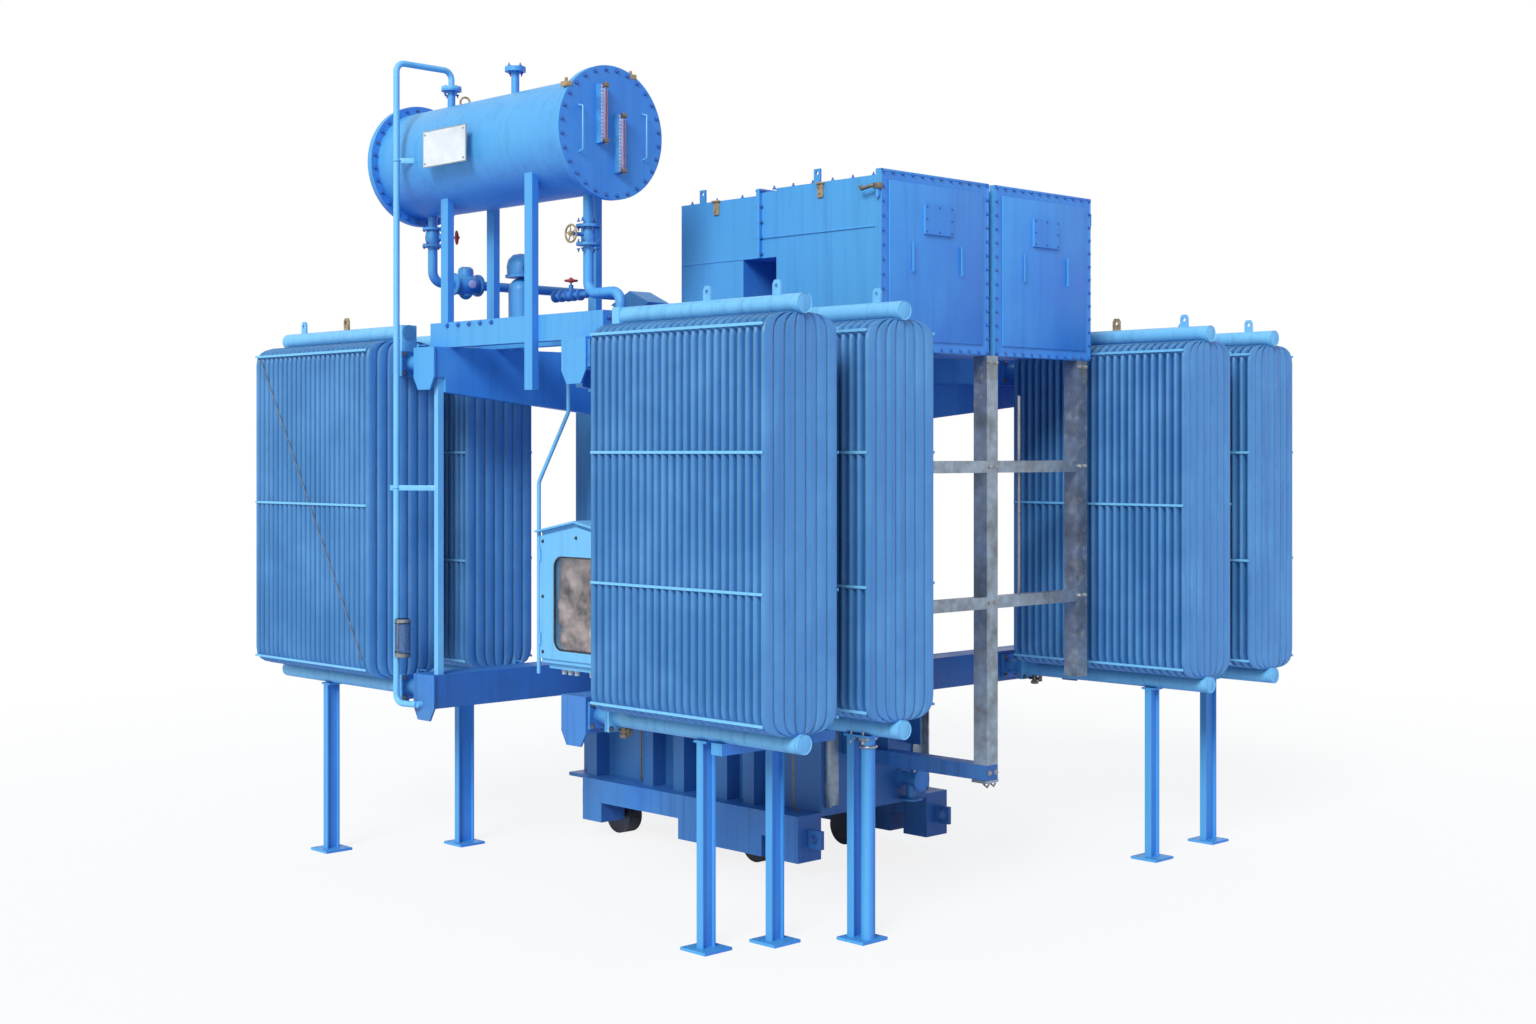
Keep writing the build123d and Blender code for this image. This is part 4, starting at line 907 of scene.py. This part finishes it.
class TRANSFORMER_OT_handwheels(bpy.types.Operator):
    """Spoked handwheels, the valve above the relay and the branch of the filling pipe"""

    bl_idname = "transformer.handwheels"
    bl_label = "Handwheels"

    relay_valve_place = Vector((-1.10, -1.90, 3.900))
    relay_valve_way = Vector((1, 1, 0)).normalized()
    relay_valve_outline = (
        (0.036, -0.060), (0.064, -0.060), (0.064, -0.046), (0.042, -0.042), (0.048, 0.0),
        (0.042, 0.042), (0.064, 0.046), (0.064, 0.060), (0.036, 0.060),
    )
    branch_start = Vector((0.435, -1.90, 3.460))
    branch_flanges = (0.065, 0.125, 0.175, 0.235, 0.290)

    def wheel(self, middle, axis, radius, name, finish="handwheel enamel", stands_for=()):
        """A rim, a hub and five spokes."""
        parts = [ring(middle, axis, radius - 0.006, 0.006)]
        parts.append(rod(middle - axis * 0.010, middle + axis * 0.012, 0.014, 16))
        for point in round_points(middle, axis, radius - 0.007, 5, 0.3):
            parts.append(rod(middle, point, 0.0038, 8, 0))
        parts.append(rod(middle + axis * 0.011, middle + axis * 0.018, 0.008, 6))
        joined(parts, name, finish, 40, stands_for)

    def relay_valve(self, sizes):
        """The flanged valve above the relay, with its stem and handwheel."""
        place = self.relay_valve_place
        way = self.relay_valve_way
        parts = [lathe(self.relay_valve_outline, place, Z_AXIS, 28)]
        parts.append(rod(place, place + way * 0.085, 0.024, 16))
        parts.append(rod(place + way * 0.080, place + way * 0.155, 0.0075, 12))
        joined(parts, "relay_valve", "casting enamel")
        self.wheel(place + way * 0.150, way, 0.045, "relay_handwheel")
        levels = ((0.060, 1), (0.046, -1), (-0.060, -1), (-0.046, 1))
        places = flange_places(place, Z_AXIS, 0.054, 6, levels)
        bolts("relay_valve_bolts", places, sizes.valve)

    def branch(self):
        """A short branch of the filling pipe with a cock and a blank end."""
        start = self.branch_start
        parts = [bar([start, start - X_AXIS * 0.30], 0.019, 20)]
        for reach in self.branch_flanges:
            parts.append(rod(start - X_AXIS * reach, start - X_AXIS * (reach + 0.014), 0.034, 20))
        parts.append(rod(start - X_AXIS * 0.139, start - X_AXIS * 0.175, 0.028, 16))
        middle = start - X_AXIS * 0.157
        parts.append(rod(middle, middle + Z_AXIS * 0.060, 0.014, 14))
        parts.append(rod(middle + Z_AXIS * 0.055, middle + Z_AXIS * 0.092, 0.005, 10))
        joined(parts, "filling_branch", "base enamel")
        self.wheel(middle + Z_AXIS * 0.085, Z_AXIS, 0.040, "branch_handwheel")

    def execute(self, context):
        low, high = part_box("handwheel")
        radius = (high.z - low.z) / 2
        self.wheel((low + high) / 2, -Y_AXIS, radius, "filling_handwheel", "weathered lug", ("handwheel",))
        self.relay_valve(context.scene.fastener_sizes)
        self.branch()
        return {"FINISHED"}


class TRANSFORMER_OT_cable_boxes(bpy.types.Operator):
    """Bolts, seams, lugs and hinges of the two cable boxes"""

    bl_idname = "transformer.cable_boxes"
    bl_label = "Cable boxes"

    wall_y = 0.933
    roof_stud_y = 0.905
    duct_inner_y = 0.043
    duct_outer_y = 0.944
    duct_joint_z = (3.725, 4.096)
    duct_joint_faces = ((0.856, 1), (0.828, -1))
    # Start, end, height and number of the studs in a row along X
    stud_rows = ((0.930, 1.720, 4.100, 6), (0.215, 0.660, 4.070, 3))
    inspection_middle = 0.4935
    inspection_half = 0.108
    inspection_z = (3.805, 3.945)
    seam_boxes = (
        (0.860, 3.812, 1.785, 3.822, 0.007, 0.0015),
        (0.152, 3.700, 0.826, 3.712, 0.004, 0.0015),
        (1.765, 3.160, 1.785, 4.098, 0.010, 0.002),
    )
    lug_places = ((0.466, 3.985), (1.338, 4.010))
    hinge_levels = (4.000, 3.250)
    # Half width, inner and outer depth, lower and upper edge, and bevel of a lug's two plates
    lug_plates = ((0.022, 0.0, 0.010, 0.0, 0.085, 0.003), (0.030, -0.004, 0.020, 0.078, 0.088, 0.002))
    cover_fold = 0.012
    hinge_y = 0.961
    hook_run = (
        (1.800, -0.961, 4.030), (1.780, -0.985, 4.034), (1.705, -0.985, 4.020), (1.690, -0.985, 4.040),
    )

    def cover_bolts(self, side, low, high):
        y_pair = sorted((side * 0.042, side * (high.y - 0.016)))
        z_pair = (low.z + 0.016, high.z - 0.016)
        front = border(high.x - 0.024, y_pair, z_pair, 12, 13)
        back = border(low.x - 0.025, y_pair, z_pair, 12, 13)
        return facing(front, X_AXIS) + facing(back, -X_AXIS)

    def duct_bolts(self, side):
        """Bolts round the joint between duct and bushing box."""
        low, top = self.duct_joint_z
        inner = side * self.duct_inner_y
        outer = side * self.duct_outer_y
        ease = side * 0.03
        places = []
        for x, way in self.duct_joint_faces:
            points = between((x, inner + ease, top), (x, outer - ease, top), 11)
            for y in (outer, inner):
                points += between((x, y, low), (x, y, top), 5)
            places += facing(points, X_AXIS * way)
        return places

    def seams(self, side):
        """Folded seams and stiffening ribs on the outer side of a box."""
        wall = side * self.wall_y
        return [box((x_low, wall, z_low), (x_high, wall + side * depth, z_high), bevel)
                for x_low, z_low, x_high, z_high, depth, bevel in self.seam_boxes]

    def pans(self, side, low, high):
        """The pressed middle of a cover and the folded edge round it."""
        face = high.x - 0.0245
        inner, outer = sorted((side * 0.092, side * (high.y - 0.062)))
        parts = [box((face, inner, low.z + 0.060), (high.x - 0.0145, outer, high.z - 0.060), 0.003)]
        across = sorted((side * 0.034, side * (high.y - 0.002)))
        for y, z in edging(across, (low.z + 0.002, high.z - 0.002), self.cover_fold):
            parts.append(box((face, y[0], z[0]), (high.x - 0.0215, y[1], z[1]), 0.001))
        return parts

    def side_lugs(self, side):
        """Bare lugs bolted to the upper edge of the side."""
        wall = side * self.wall_y
        parts = []
        for x, z in self.lug_places:
            for half, inner, outer, foot, head, bevel in self.lug_plates:
                low = (x - half, wall + side * inner, z + foot)
                high = (x + half, wall + side * outer, z + head)
                parts.append(box(low, high, bevel))
            parts.append(rod((x, wall, z + 0.030), (x, wall + side * 0.018, z + 0.030), 0.009, 6))
        return parts

    def roof_studs(self, side):
        y = side * self.roof_stud_y
        points = []
        for start, end, z, number in self.stud_rows:
            points += between((start, y, z), (end, y, z), number)
        return facing(points, Z_AXIS)

    def inspection_screws(self, side, front):
        y_pair = [side * self.inspection_middle + way * self.inspection_half for way in SIDES]
        return facing(border(front, y_pair, self.inspection_z, 3, 3), X_AXIS)

    def execute(self, context):
        sizes = context.scene.fastener_sizes
        low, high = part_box("cable_box_covers")
        bolts("cover_bolts", on_both_sides(lambda side: self.cover_bolts(side, low, high)), sizes.cover)
        bolts("duct_joint_bolts", on_both_sides(self.duct_bolts), sizes.cover)
        bolts("roof_studs", on_both_sides(self.roof_studs), sizes.stud, reach=2.2)
        screws = on_both_sides(lambda side: self.inspection_screws(side, high.x))
        bolts("inspection_screws", screws, sizes.screw)
        pans = on_both_sides(lambda side: self.pans(side, low, high))
        joined(pans, "cover_pans", "body enamel")
        joined(on_both_sides(self.seams), "box_seams", "body enamel")
        joined(on_both_sides(self.side_lugs), "box_side_lugs", "weathered lug")
        hook = [bar(self.hook_run, 0.011), box((1.790, -0.990, 4.014), (1.836, -0.955, 4.046), 0.004)]
        joined(hook, "box_hook", "stained steel", 60)
        hinges = []
        for z in self.hinge_levels:
            for side in SIDES:
                y = side * self.hinge_y
                hinges.append(box((1.795, y, z - 0.030), (1.822, y + side * 0.012, z + 0.030), 0.002))
                hinges.append(upright_rod(1.812, y + side * 0.014, z - 0.036, z + 0.036, 0.008, 12))
        joined(hinges, "cover_hooks", "casting enamel")
        return {"FINISHED"}


class TRANSFORMER_OT_tank(bpy.types.Operator):
    """Rim bolts, thin pipes, angle strip and drain fittings round the tank"""

    bl_idname = "transformer.tank"
    bl_label = "Tank fittings"

    rim_inset = 0.026
    cover_and_rim = 0.080
    pipe_places = (-0.624, 0.780)
    # Distance from the tank's middle plane and height along a sampling pipe
    pipe_run = ((0.480, 1.010), (0.600, 1.000), (0.600, 0.430), (0.560, 0.392))
    # Front edge and range of Y of the two flanges of an angle
    angle_flanges = ((0.914, 0.340, 0.440), (0.950, 0.440, 0.452))
    drain_x = 1.040
    drain_level = 1.060
    # Start, end, radius and sides of a drain's body and of its hexagon
    drain_turnings = ((1.088, 1.040, 0.017, 12), (1.044, 1.026, 0.026, 6))

    def rim_bolts(self, sizes):
        low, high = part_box("tank_cover")
        rows = []
        for side in SIDES:
            y = side * (high.y - self.rim_inset)
            rows.append(((low.x + 0.05, y), (high.x - 0.05, y), 24))
        for x in (low.x + self.rim_inset, high.x - self.rim_inset):
            rows.append(((x, -0.42), (x, 0.42), 9))
        places = []
        for start, end, number in rows:
            for z, way in ((high.z, 1), (high.z - self.cover_and_rim, -1)):
                places += facing(between((*start, z), (*end, z), number), Z_AXIS * way)
        bolts("rim_bolts", places, sizes.medium)

    def thin_pipes(self, side):
        return [bar([(x, side * y, z) for y, z in self.pipe_run], 0.007) for x in self.pipe_places]

    def angles(self, side):
        return [box((0.900, side * near, 0.420), (front, side * far, 1.020), 0.002)
                for front, near, far in self.angle_flanges]

    def drains(self, way):
        """Drain cocks under the lower headers, each with its cross stem and the stem's plate."""
        x = way * self.drain_x
        z = self.drain_level
        parts = []
        for y in RADIATOR_ROWS:
            parts += [upright_rod(x, y, *turning) for turning in self.drain_turnings]
            parts.append(rod((x - 0.045, y, z), (x + 0.045, y, z), 0.010, 10))
            parts.append(box(
                (x + way * 0.040, y - 0.016, z - 0.018), (x + way * 0.052, y + 0.016, z + 0.018), 0.003))
        return parts

    def execute(self, context):
        self.rim_bolts(context.scene.fastener_sizes)
        joined(on_both_sides(self.thin_pipes), "sampling_pipes", "stained steel", 60)
        joined(on_both_sides(self.angles), "corner_angles", "frame steel")
        joined(on_both_sides(self.drains), "header_drains", "stained steel")
        return {"FINISHED"}


class TRANSFORMER_OT_valves(bpy.types.Operator):
    """Bolts and levers of the sixteen butterfly valves"""

    bl_idname = "transformer.valves"
    bl_label = "Radiator valves"

    valve_x = 0.901
    flange_faces = ((0.998, 1), (0.964, -1), (0.838, 1))
    bolt_offsets = (-0.058, 0.058)
    lever_rise = 0.105

    def execute(self, context):
        heights = context.scene.radiator_sizes
        valves = [(way, y, z) for way in ENDS.values() for y in RADIATOR_ROWS
                  for z in (heights.collector_height, heights.header_low)]
        places = []
        levers = []
        for way, y, z in valves:
            corners = [(y + dy, z + dz) for dy in self.bolt_offsets for dz in self.bolt_offsets]
            for x, turn in self.flange_faces:
                places += facing([(way * x, *corner) for corner in corners], X_AXIS * turn * way)
            x = way * self.valve_x
            top = z + self.lever_rise
            levers.append(box((x - 0.010, y - 0.008, top), (x + 0.085, y + 0.008, top + 0.008), 0.002))
            levers.append(upright_rod(x, y, top - 0.004, top + 0.016, 0.010, 6))
        bolts("valve_bolts", places, context.scene.fastener_sizes.medium, "bolt steel")
        joined(levers, "valve_levers", "casting enamel")
        return {"FINISHED"}


class TRANSFORMER_OT_cabinet(bpy.types.Operator):
    """Window seal, lining, screws, hinges, latch and cable glands of the control cabinet"""

    bl_idname = "transformer.cabinet"
    bl_label = "Control cabinet"

    screw_levels = (1.372, 2.030)
    hinge_levels = (1.450, 1.950)
    gland_places = (-0.110, -0.050, 0.010, 0.150, 0.230, 0.320)
    gland_y = -1.640
    # Start, end, radius and sides of a gland's hexagon and of its sleeve, under the cabinet
    gland_turnings = ((0.002, -0.016, 0.020, 6), (-0.014, -0.036, 0.015, 16))
    seal_margin = 0.028
    seal_width = 0.024
    seal_depth = 0.009
    corner_radius = 0.078
    lining_margin = 0.010
    lining_distance = 0.030
    # Corners and bevels of the latch's plate and handle, from the door's edge
    latch_plates = (
        ((-0.014, -0.010, 1.640), (0.014, 0.0, 1.740), 0.004),
        ((-0.006, -0.026, 1.650), (0.006, -0.018, 1.725), 0.003),
    )

    def seal(self, low, high):
        """A rubber frame with rounded corners round the pane."""
        deselect()
        middle = (low + high) / 2
        bpy.ops.mesh.primitive_plane_add(
            size=1, location=(middle.x, low.y - 0.001, middle.z), rotation=(pi / 2, 0, 0))
        made = added()
        made.scale = (high.x - low.x + self.seal_margin, high.z - low.z + self.seal_margin, 1)
        settle(made)
        edit(made, mode="VERT")
        bpy.ops.mesh.bevel(offset=self.corner_radius, segments=8, affect="VERTICES")
        bpy.ops.mesh.select_mode(type="FACE")
        select_all()
        bpy.ops.mesh.inset(thickness=self.seal_width)
        bpy.ops.mesh.delete(type="FACE")
        select_all()
        bpy.ops.mesh.extrude_region_move(TRANSFORM_OT_translate={"value": (0, -self.seal_depth, 0)})
        select_all()
        face_outwards()
        close()
        finished(smooth(made), "window_seal", "seal rubber")

    def lining(self, low, high):
        """A crumpled sheet that shows behind the pane."""
        deselect()
        bpy.ops.mesh.primitive_grid_add(
            x_subdivisions=70, y_subdivisions=90, size=1, rotation=(pi / 2, 0, 0),
            location=((low.x + high.x) / 2, high.y + self.lining_distance, (low.z + high.z) / 2))
        sheet = added()
        sheet.scale = (high.x - low.x - self.lining_margin, high.z - low.z - self.lining_margin, 1)
        settle(sheet)
        creases = bpy.data.textures.new("creases", "VORONOI")
        creases.noise_scale = 0.10
        creases.distance_metric = "DISTANCE"
        modified(sheet, "DISPLACE", texture=creases, texture_coords="LOCAL", direction="Y", strength=0.045,
                 mid_level=0.5)
        finished(smooth(sheet, 60), "cabinet_lining", "cabinet lining")

    def door_fittings(self, low, high, sizes):
        """Screws along the door's edge, two hinges and the latch."""
        left = low.x + 0.030
        right = high.x - 0.030
        foot, head = self.screw_levels
        points = [point for x in (left, right) for point in between((x, low.y, foot), (x, low.y, head), 3)]
        points.append(((left + right) / 2, low.y, head + 0.028))
        bolts("door_screws", facing(points, -Y_AXIS), sizes.small, "seal rubber", 1.1)
        hinge = Vector((low.x + 0.006, low.y - 0.006, 0))
        parts = [rod(hinge + Z_AXIS * (z - 0.035), hinge + Z_AXIS * (z + 0.035), 0.009, 14)
                 for z in self.hinge_levels]
        edge = Vector((high.x - 0.055, low.y, 0))
        parts += [box(edge + Vector(corner), edge + Vector(opposite), bevel)
                  for corner, opposite, bevel in self.latch_plates]
        parts.append(rod(edge + Vector((0, -0.009, 1.715)), edge + Vector((0, -0.024, 1.715)), 0.010, 14))
        joined(parts, "door_hinges_and_latch", "cabinet enamel")

    def execute(self, context):
        low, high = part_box("cabinet_window")
        self.seal(low, high)
        self.lining(low, high)
        low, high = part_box("cabinet_door")
        self.door_fittings(low, high, context.scene.fastener_sizes)
        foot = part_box("cabinet_body")[0].z
        glands = [upright_rod(x, self.gland_y, foot + start, foot + end, radius, sides)
                  for x in self.gland_places for start, end, radius, sides in self.gland_turnings]
        joined(glands, "cable_glands", "white plastic")
        return {"FINISHED"}


class TRANSFORMER_OT_steel_frame(bpy.types.Operator):
    """Bolts, strips and foot hooks of the steel frame under the cable boxes"""

    bl_idname = "transformer.steel_frame"
    bl_label = "Steel frame"

    front_x = 1.830
    post_places = (-0.870, 0.0, 0.870)
    rail_levels = (1.680, 2.475)
    rail_pair = (-0.026, 0.026)
    cap_pair = (-0.030, 0.030)
    foot_level = 0.685
    cap_level = 3.085
    strip_places = (-0.560, 0.330)
    tie_face = 2.4045
    tie_radius = 0.0025
    # Upper and lower end of a tie, as X and height
    tie_ends = ((-2.309, 3.160), (-1.116, 1.300))

    def execute(self, context):
        points = [(y + dy, z) for z in self.rail_levels for y in self.post_places for dy in self.rail_pair]
        for dy in self.cap_pair:
            points.append((dy, self.foot_level))
            points += [(y + dy, self.cap_level) for y in self.post_places]
        places = facing([(self.front_x, *point) for point in points], X_AXIS)
        bolts("frame_bolts", places, context.scene.fastener_sizes.medium, "bright steel")
        strips = [box((1.752, y, 1.700), (1.760, y + 0.022, 2.900), 0.002) for y in self.strip_places]
        joined(strips, "frame_strips", "bright steel")
        hooks = [bar([(1.790, y, 0.640), (1.790, y, 0.615), (1.815, y, 0.600), (1.828, y, 0.620)], 0.006)
                 for y in self.cap_pair]
        hooks.append(box((1.720, -0.060, 0.624), (1.829, 0.060, 0.640), 0.003))
        joined(hooks, "post_foot_hooks", "frame steel", 60)
        ties = [bar([(x, side * self.tie_face, z) for x, z in self.tie_ends], self.tie_radius)
                for side in SIDES]
        finished(join(*ties), "diagonal_ties", "stained steel")
        return {"FINISHED"}


class TRANSFORMER_OT_drying_jar(bpy.types.Operator):
    """Grains, caps and tie rods of the drying jar"""

    bl_idname = "transformer.drying_jar"
    bl_label = "Drying jar"

    def execute(self, context):
        low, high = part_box("drying_jar")
        x, y, _ = (low + high) / 2
        grains = rod((x, y, low.z + 0.040), (x, y, high.z - 0.030), 0.040, 28, 0.4)
        finished(smooth(grains), "drying_grains", "drying grains")
        caps = []
        for foot, tall in ((low.z, 0.026), (high.z - 0.024, 0.024)):
            outline = ((0, 0), (0.044, 0), (0.048, 0.004), (0.048, tall - 0.004), (0.044, tall), (0, tall))
            caps.append(lathe(outline, (x, y, foot), Z_AXIS, 28))
        for point in round_points((x, y, low.z), Z_AXIS, 0.043, 3):
            caps.append(rod(point, point + Z_AXIS * (high.z - low.z), 0.004, 8))
        joined(caps, "jar_caps", "bright steel")
        return {"FINISHED"}


class TRANSFORMER_OT_pipe_fittings(bpy.types.Operator):
    """Relay body, relief cap, pipe brackets, beam bolts and leg clamps"""

    bl_idname = "transformer.pipe_fittings"
    bl_label = "Pipe fittings"

    relay_axis_z = 3.620
    relay_dome = ((0.0, 0.114), (0.030, 0.112), (0.046, 0.100), (0.050, 0.084), (0.050, 0.040))
    relay_sump = ((0.040, -0.050), (0.040, -0.070), (0.026, -0.085), (0.012, -0.092), (0.0, -0.092))
    cap_outline = (
        (0.0, 0.0), (0.100, 0.0), (0.100, 0.016), (0.088, 0.020), (0.092, 0.070), (0.082, 0.110),
        (0.052, 0.142), (0.0, 0.152),
    )
    spout_run = ((0, 0, 0), (0.060, -0.020, 0.0), (0.078, -0.026, -0.030), (0.078, -0.026, -0.250))
    bracket_ends = (
        ((-0.935, -2.322, 2.346), (-0.660, -2.172, 2.346)),
        ((-0.905, -2.302, 4.318), (-0.830, -2.222, 4.318)),
    )
    clamp_places = (2.060, 2.145)
    clamp_bolt_rows = (-1.446, -1.374)
    # Start, end and number of the bolts along the near beam, then Y and height of those on its ends
    beam_row = (-0.640, -0.200, 5)
    beam_end_bolts = ((-2.07, 3.23), (-2.07, 3.30), (-1.73, 3.23), (-1.73, 3.30))

    def relay(self):
        low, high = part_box("gas_relay")
        middle = (low + high) / 2
        middle.z = self.relay_axis_z
        half = (high.y - low.y) / 2
        outline = (
            (0.036, -half), (0.070, -half), (0.070, -half + 0.014), (0.048, -half + 0.016), (0.066, -0.045),
            (0.072, 0.0), (0.066, 0.045), (0.048, half - 0.016), (0.070, half - 0.014), (0.070, half),
            (0.036, half),
        )
        parts = [lathe(outline, middle, Y_AXIS), lathe(self.relay_dome, middle, Z_AXIS, 28),
                 lathe(self.relay_sump, middle, Z_AXIS, 24)]
        joined(parts, "relay_body", "casting enamel", stands_for=("gas_relay",))
        panes = []
        for way in SIDES:
            at = middle + X_AXIS * way * 0.062
            panes.append(rod(at, at + X_AXIS * way * 0.016, 0.026, 20))
        joined(panes, "relay_windows", "scale board")

    def relief_cap(self):
        low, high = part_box("relief_riser")
        foot = (low + high) / 2
        foot.z = high.z
        cap = lathe(self.cap_outline, foot, Z_AXIS, 36)
        finished(smooth(cap, 40), "relief_cap", "body enamel")
        start = foot + Vector((0.070, -0.020, 0.060))
        spout = bar([start + Vector(step) for step in self.spout_run], 0.026, 20)
        finished(smooth(spout, 60), "relief_spout", "base enamel")

    def brackets(self):
        """Flat bars that hold the breathing pipe to the post and to the oil vessel."""
        parts = []
        for start, end in self.bracket_ends:
            way = Vector(end) - Vector(start)
            middle = Vector(start) + way / 2
            piece = box((-way.length / 2, -0.004, -0.016), (way.length / 2, 0.004, 0.016), 0.0015)
            piece.matrix_world = Matrix.Translation(middle) @ way.to_track_quat("X", "Z").to_matrix().to_4x4()
            parts.append(settle(piece))
            parts.append(ring((-0.90, -2.30, middle.z), Z_AXIS, 0.021, 0.005, 24, 8))
        joined(parts, "pipe_brackets", "cabinet enamel")

    def clamps(self):
        """Clamps that hold the pair of legs to the lower header."""
        parts = []
        for x in self.clamp_places:
            parts.append(box((x - 0.030, -1.452, 1.052), (x + 0.030, -1.368, 1.074), 0.005))
            for y in self.clamp_bolt_rows:
                parts.append(upright_rod(x, y, 1.035, 1.098, 0.007, 10))
                parts.append(upright_rod(x, y, 1.034, 1.050, 0.014, 6))
        parts.append(ring((self.clamp_places[1], -1.410, 1.020), Z_AXIS, 0.045, 0.007, 24, 8))
        joined(parts, "leg_clamps", "bright steel")

    def beam_bolts(self, sizes):
        low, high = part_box("conservator_beams")
        level = high.z - 0.020
        start, end, number = self.beam_row
        places = facing(between((start, low.y, level), (end, low.y, level), number), -Y_AXIS)
        for side in SIDES:
            places += facing([(side * high.x, *point) for point in self.beam_end_bolts], X_AXIS * side)
        bolts("beam_bolts", places, sizes.medium)

    def execute(self, context):
        self.relay()
        self.relief_cap()
        self.brackets()
        self.clamps()
        self.beam_bolts(context.scene.fastener_sizes)
        return {"FINISHED"}


class TRANSFORMER_OT_stage(bpy.types.Operator):
    """Floor, lamps, background and camera"""

    bl_idname = "transformer.stage"
    bl_label = "Stage"

    camera_place = (9.15, -8.976, 2.5565)
    camera_turn = (pi / 2, 0, radians(45.707))
    sky_tint = (0.78, 0.89, 1.0, 1)
    floor_tint = (0.82, 0.83, 0.84, 1)
    # Near and far distance from the middle, then the share of white at each
    floor_fade = (5.0, 11.0, 0.85, 1.0)
    white = {"Color": (1, 1, 1, 1), "Strength": 1.0}
    lamp_spread = radians(22)
    film_width = 36.0
    picture_shift = -0.0385

    def floor(self, sizes):
        """A pale floor that keeps the shadow and fades to white further out."""
        deselect()
        bpy.ops.mesh.primitive_plane_add(size=sizes.floor_side)
        ground = added()
        ground.name = "floor"
        tree, _ = material("pale floor", Base_Color=self.floor_tint, Roughness=0.9)
        seen = node(tree, "ShaderNodeLightPath").outputs["Is Camera Ray"]
        distance = node(tree, "ShaderNodeVectorMath", {0: object_place(tree)}, operation="LENGTH")
        share = reckoned(tree, "MULTIPLY", seen, ranged(tree, distance.outputs["Value"], *self.floor_fade))
        glow = node(tree, "ShaderNodeEmission", self.white).outputs[0]
        surface = blended(tree, share, tree.nodes["Principled BSDF"].outputs[0], glow)
        feed(tree, tree.nodes["Material Output"].inputs["Surface"], surface)
        ground.data.materials.append(bpy.data.materials["pale floor"])

    def sky(self, sizes):
        """Soft bluish light, with a white background where it is seen."""
        world = bpy.data.worlds.new("white room")
        bpy.context.scene.world = world
        world.use_nodes = True
        tree = world.node_tree
        soft = tree.nodes["Background"]
        soft.inputs["Color"].default_value = self.sky_tint
        soft.inputs["Strength"].default_value = sizes.sky
        white = node(tree, "ShaderNodeBackground", self.white).outputs[0]
        paths = node(tree, "ShaderNodeLightPath").outputs
        share = reckoned(tree, "MAXIMUM", paths["Is Camera Ray"], paths["Is Glossy Ray"])
        share = reckoned(tree, "MAXIMUM", share, paths["Is Transmission Ray"])
        surface = blended(tree, share, soft.outputs[0], white)
        feed(tree, tree.nodes["World Output"].inputs["Surface"], surface)

    def execute(self, context):
        sizes = context.scene.stage_sizes
        self.floor(sizes)
        self.sky(sizes)
        deselect()
        bpy.ops.object.light_add(type="SUN", location=(-6, -10, 9))
        lamp = added()
        lamp.name = "main lamp"
        lamp.rotation_euler = Vector(LAMP_SIDE).to_track_quat("Z", "Y").to_euler()
        lamp.data.energy = sizes.sun
        lamp.data.angle = self.lamp_spread
        bpy.ops.object.camera_add(location=self.camera_place, rotation=self.camera_turn)
        camera = added()
        camera.data.lens = sizes.lens
        camera.data.sensor_width = self.film_width
        camera.data.sensor_fit = "HORIZONTAL"
        camera.data.shift_y = self.picture_shift
        context.scene.camera = camera
        context.scene.view_settings.view_transform = "Standard"
        return {"FINISHED"}


PROPERTY_GROUPS = {
    "radiator_sizes": RadiatorSizes,
    "fastener_sizes": FastenerSizes,
    "paint_colours": PaintColours,
    "stage_sizes": StageSizes,
}
OPERATORS = (
    TRANSFORMER_OT_paint,
    TRANSFORMER_OT_radiators,
    TRANSFORMER_OT_oil_vessel,
    TRANSFORMER_OT_handwheels,
    TRANSFORMER_OT_cable_boxes,
    TRANSFORMER_OT_tank,
    TRANSFORMER_OT_valves,
    TRANSFORMER_OT_cabinet,
    TRANSFORMER_OT_steel_frame,
    TRANSFORMER_OT_drying_jar,
    TRANSFORMER_OT_pipe_fittings,
    TRANSFORMER_OT_stage,
)


class TRANSFORMER_PT_pieces(bpy.types.Panel):
    bl_label = "Transformer"
    bl_idname = "TRANSFORMER_PT_pieces"
    bl_space_type = "VIEW_3D"
    bl_region_type = "UI"
    bl_category = "Transformer"

    def draw(self, context):
        for operator in OPERATORS:
            self.layout.operator(operator.bl_idname)
        for name, group_type in PROPERTY_GROUPS.items():
            column = self.layout.box().column()
            for entry in group_type.__annotations__:
                column.prop(getattr(context.scene, name), entry)


def register():
    for name, group_type in PROPERTY_GROUPS.items():
        bpy.utils.register_class(group_type)
        setattr(bpy.types.Scene, name, PointerProperty(type=group_type))
    for operator in OPERATORS:
        bpy.utils.register_class(operator)
    bpy.utils.register_class(TRANSFORMER_PT_pieces)


def unregister():
    bpy.utils.unregister_class(TRANSFORMER_PT_pieces)
    for operator in reversed(OPERATORS):
        bpy.utils.unregister_class(operator)
    for name, group_type in PROPERTY_GROUPS.items():
        delattr(bpy.types.Scene, name)
        bpy.utils.unregister_class(group_type)


def main():
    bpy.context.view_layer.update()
    register()
    for operator in OPERATORS:
        area, action = operator.bl_idname.split(".")
        getattr(getattr(bpy.ops, area), action)()


if __name__ == "__main__":
    main()
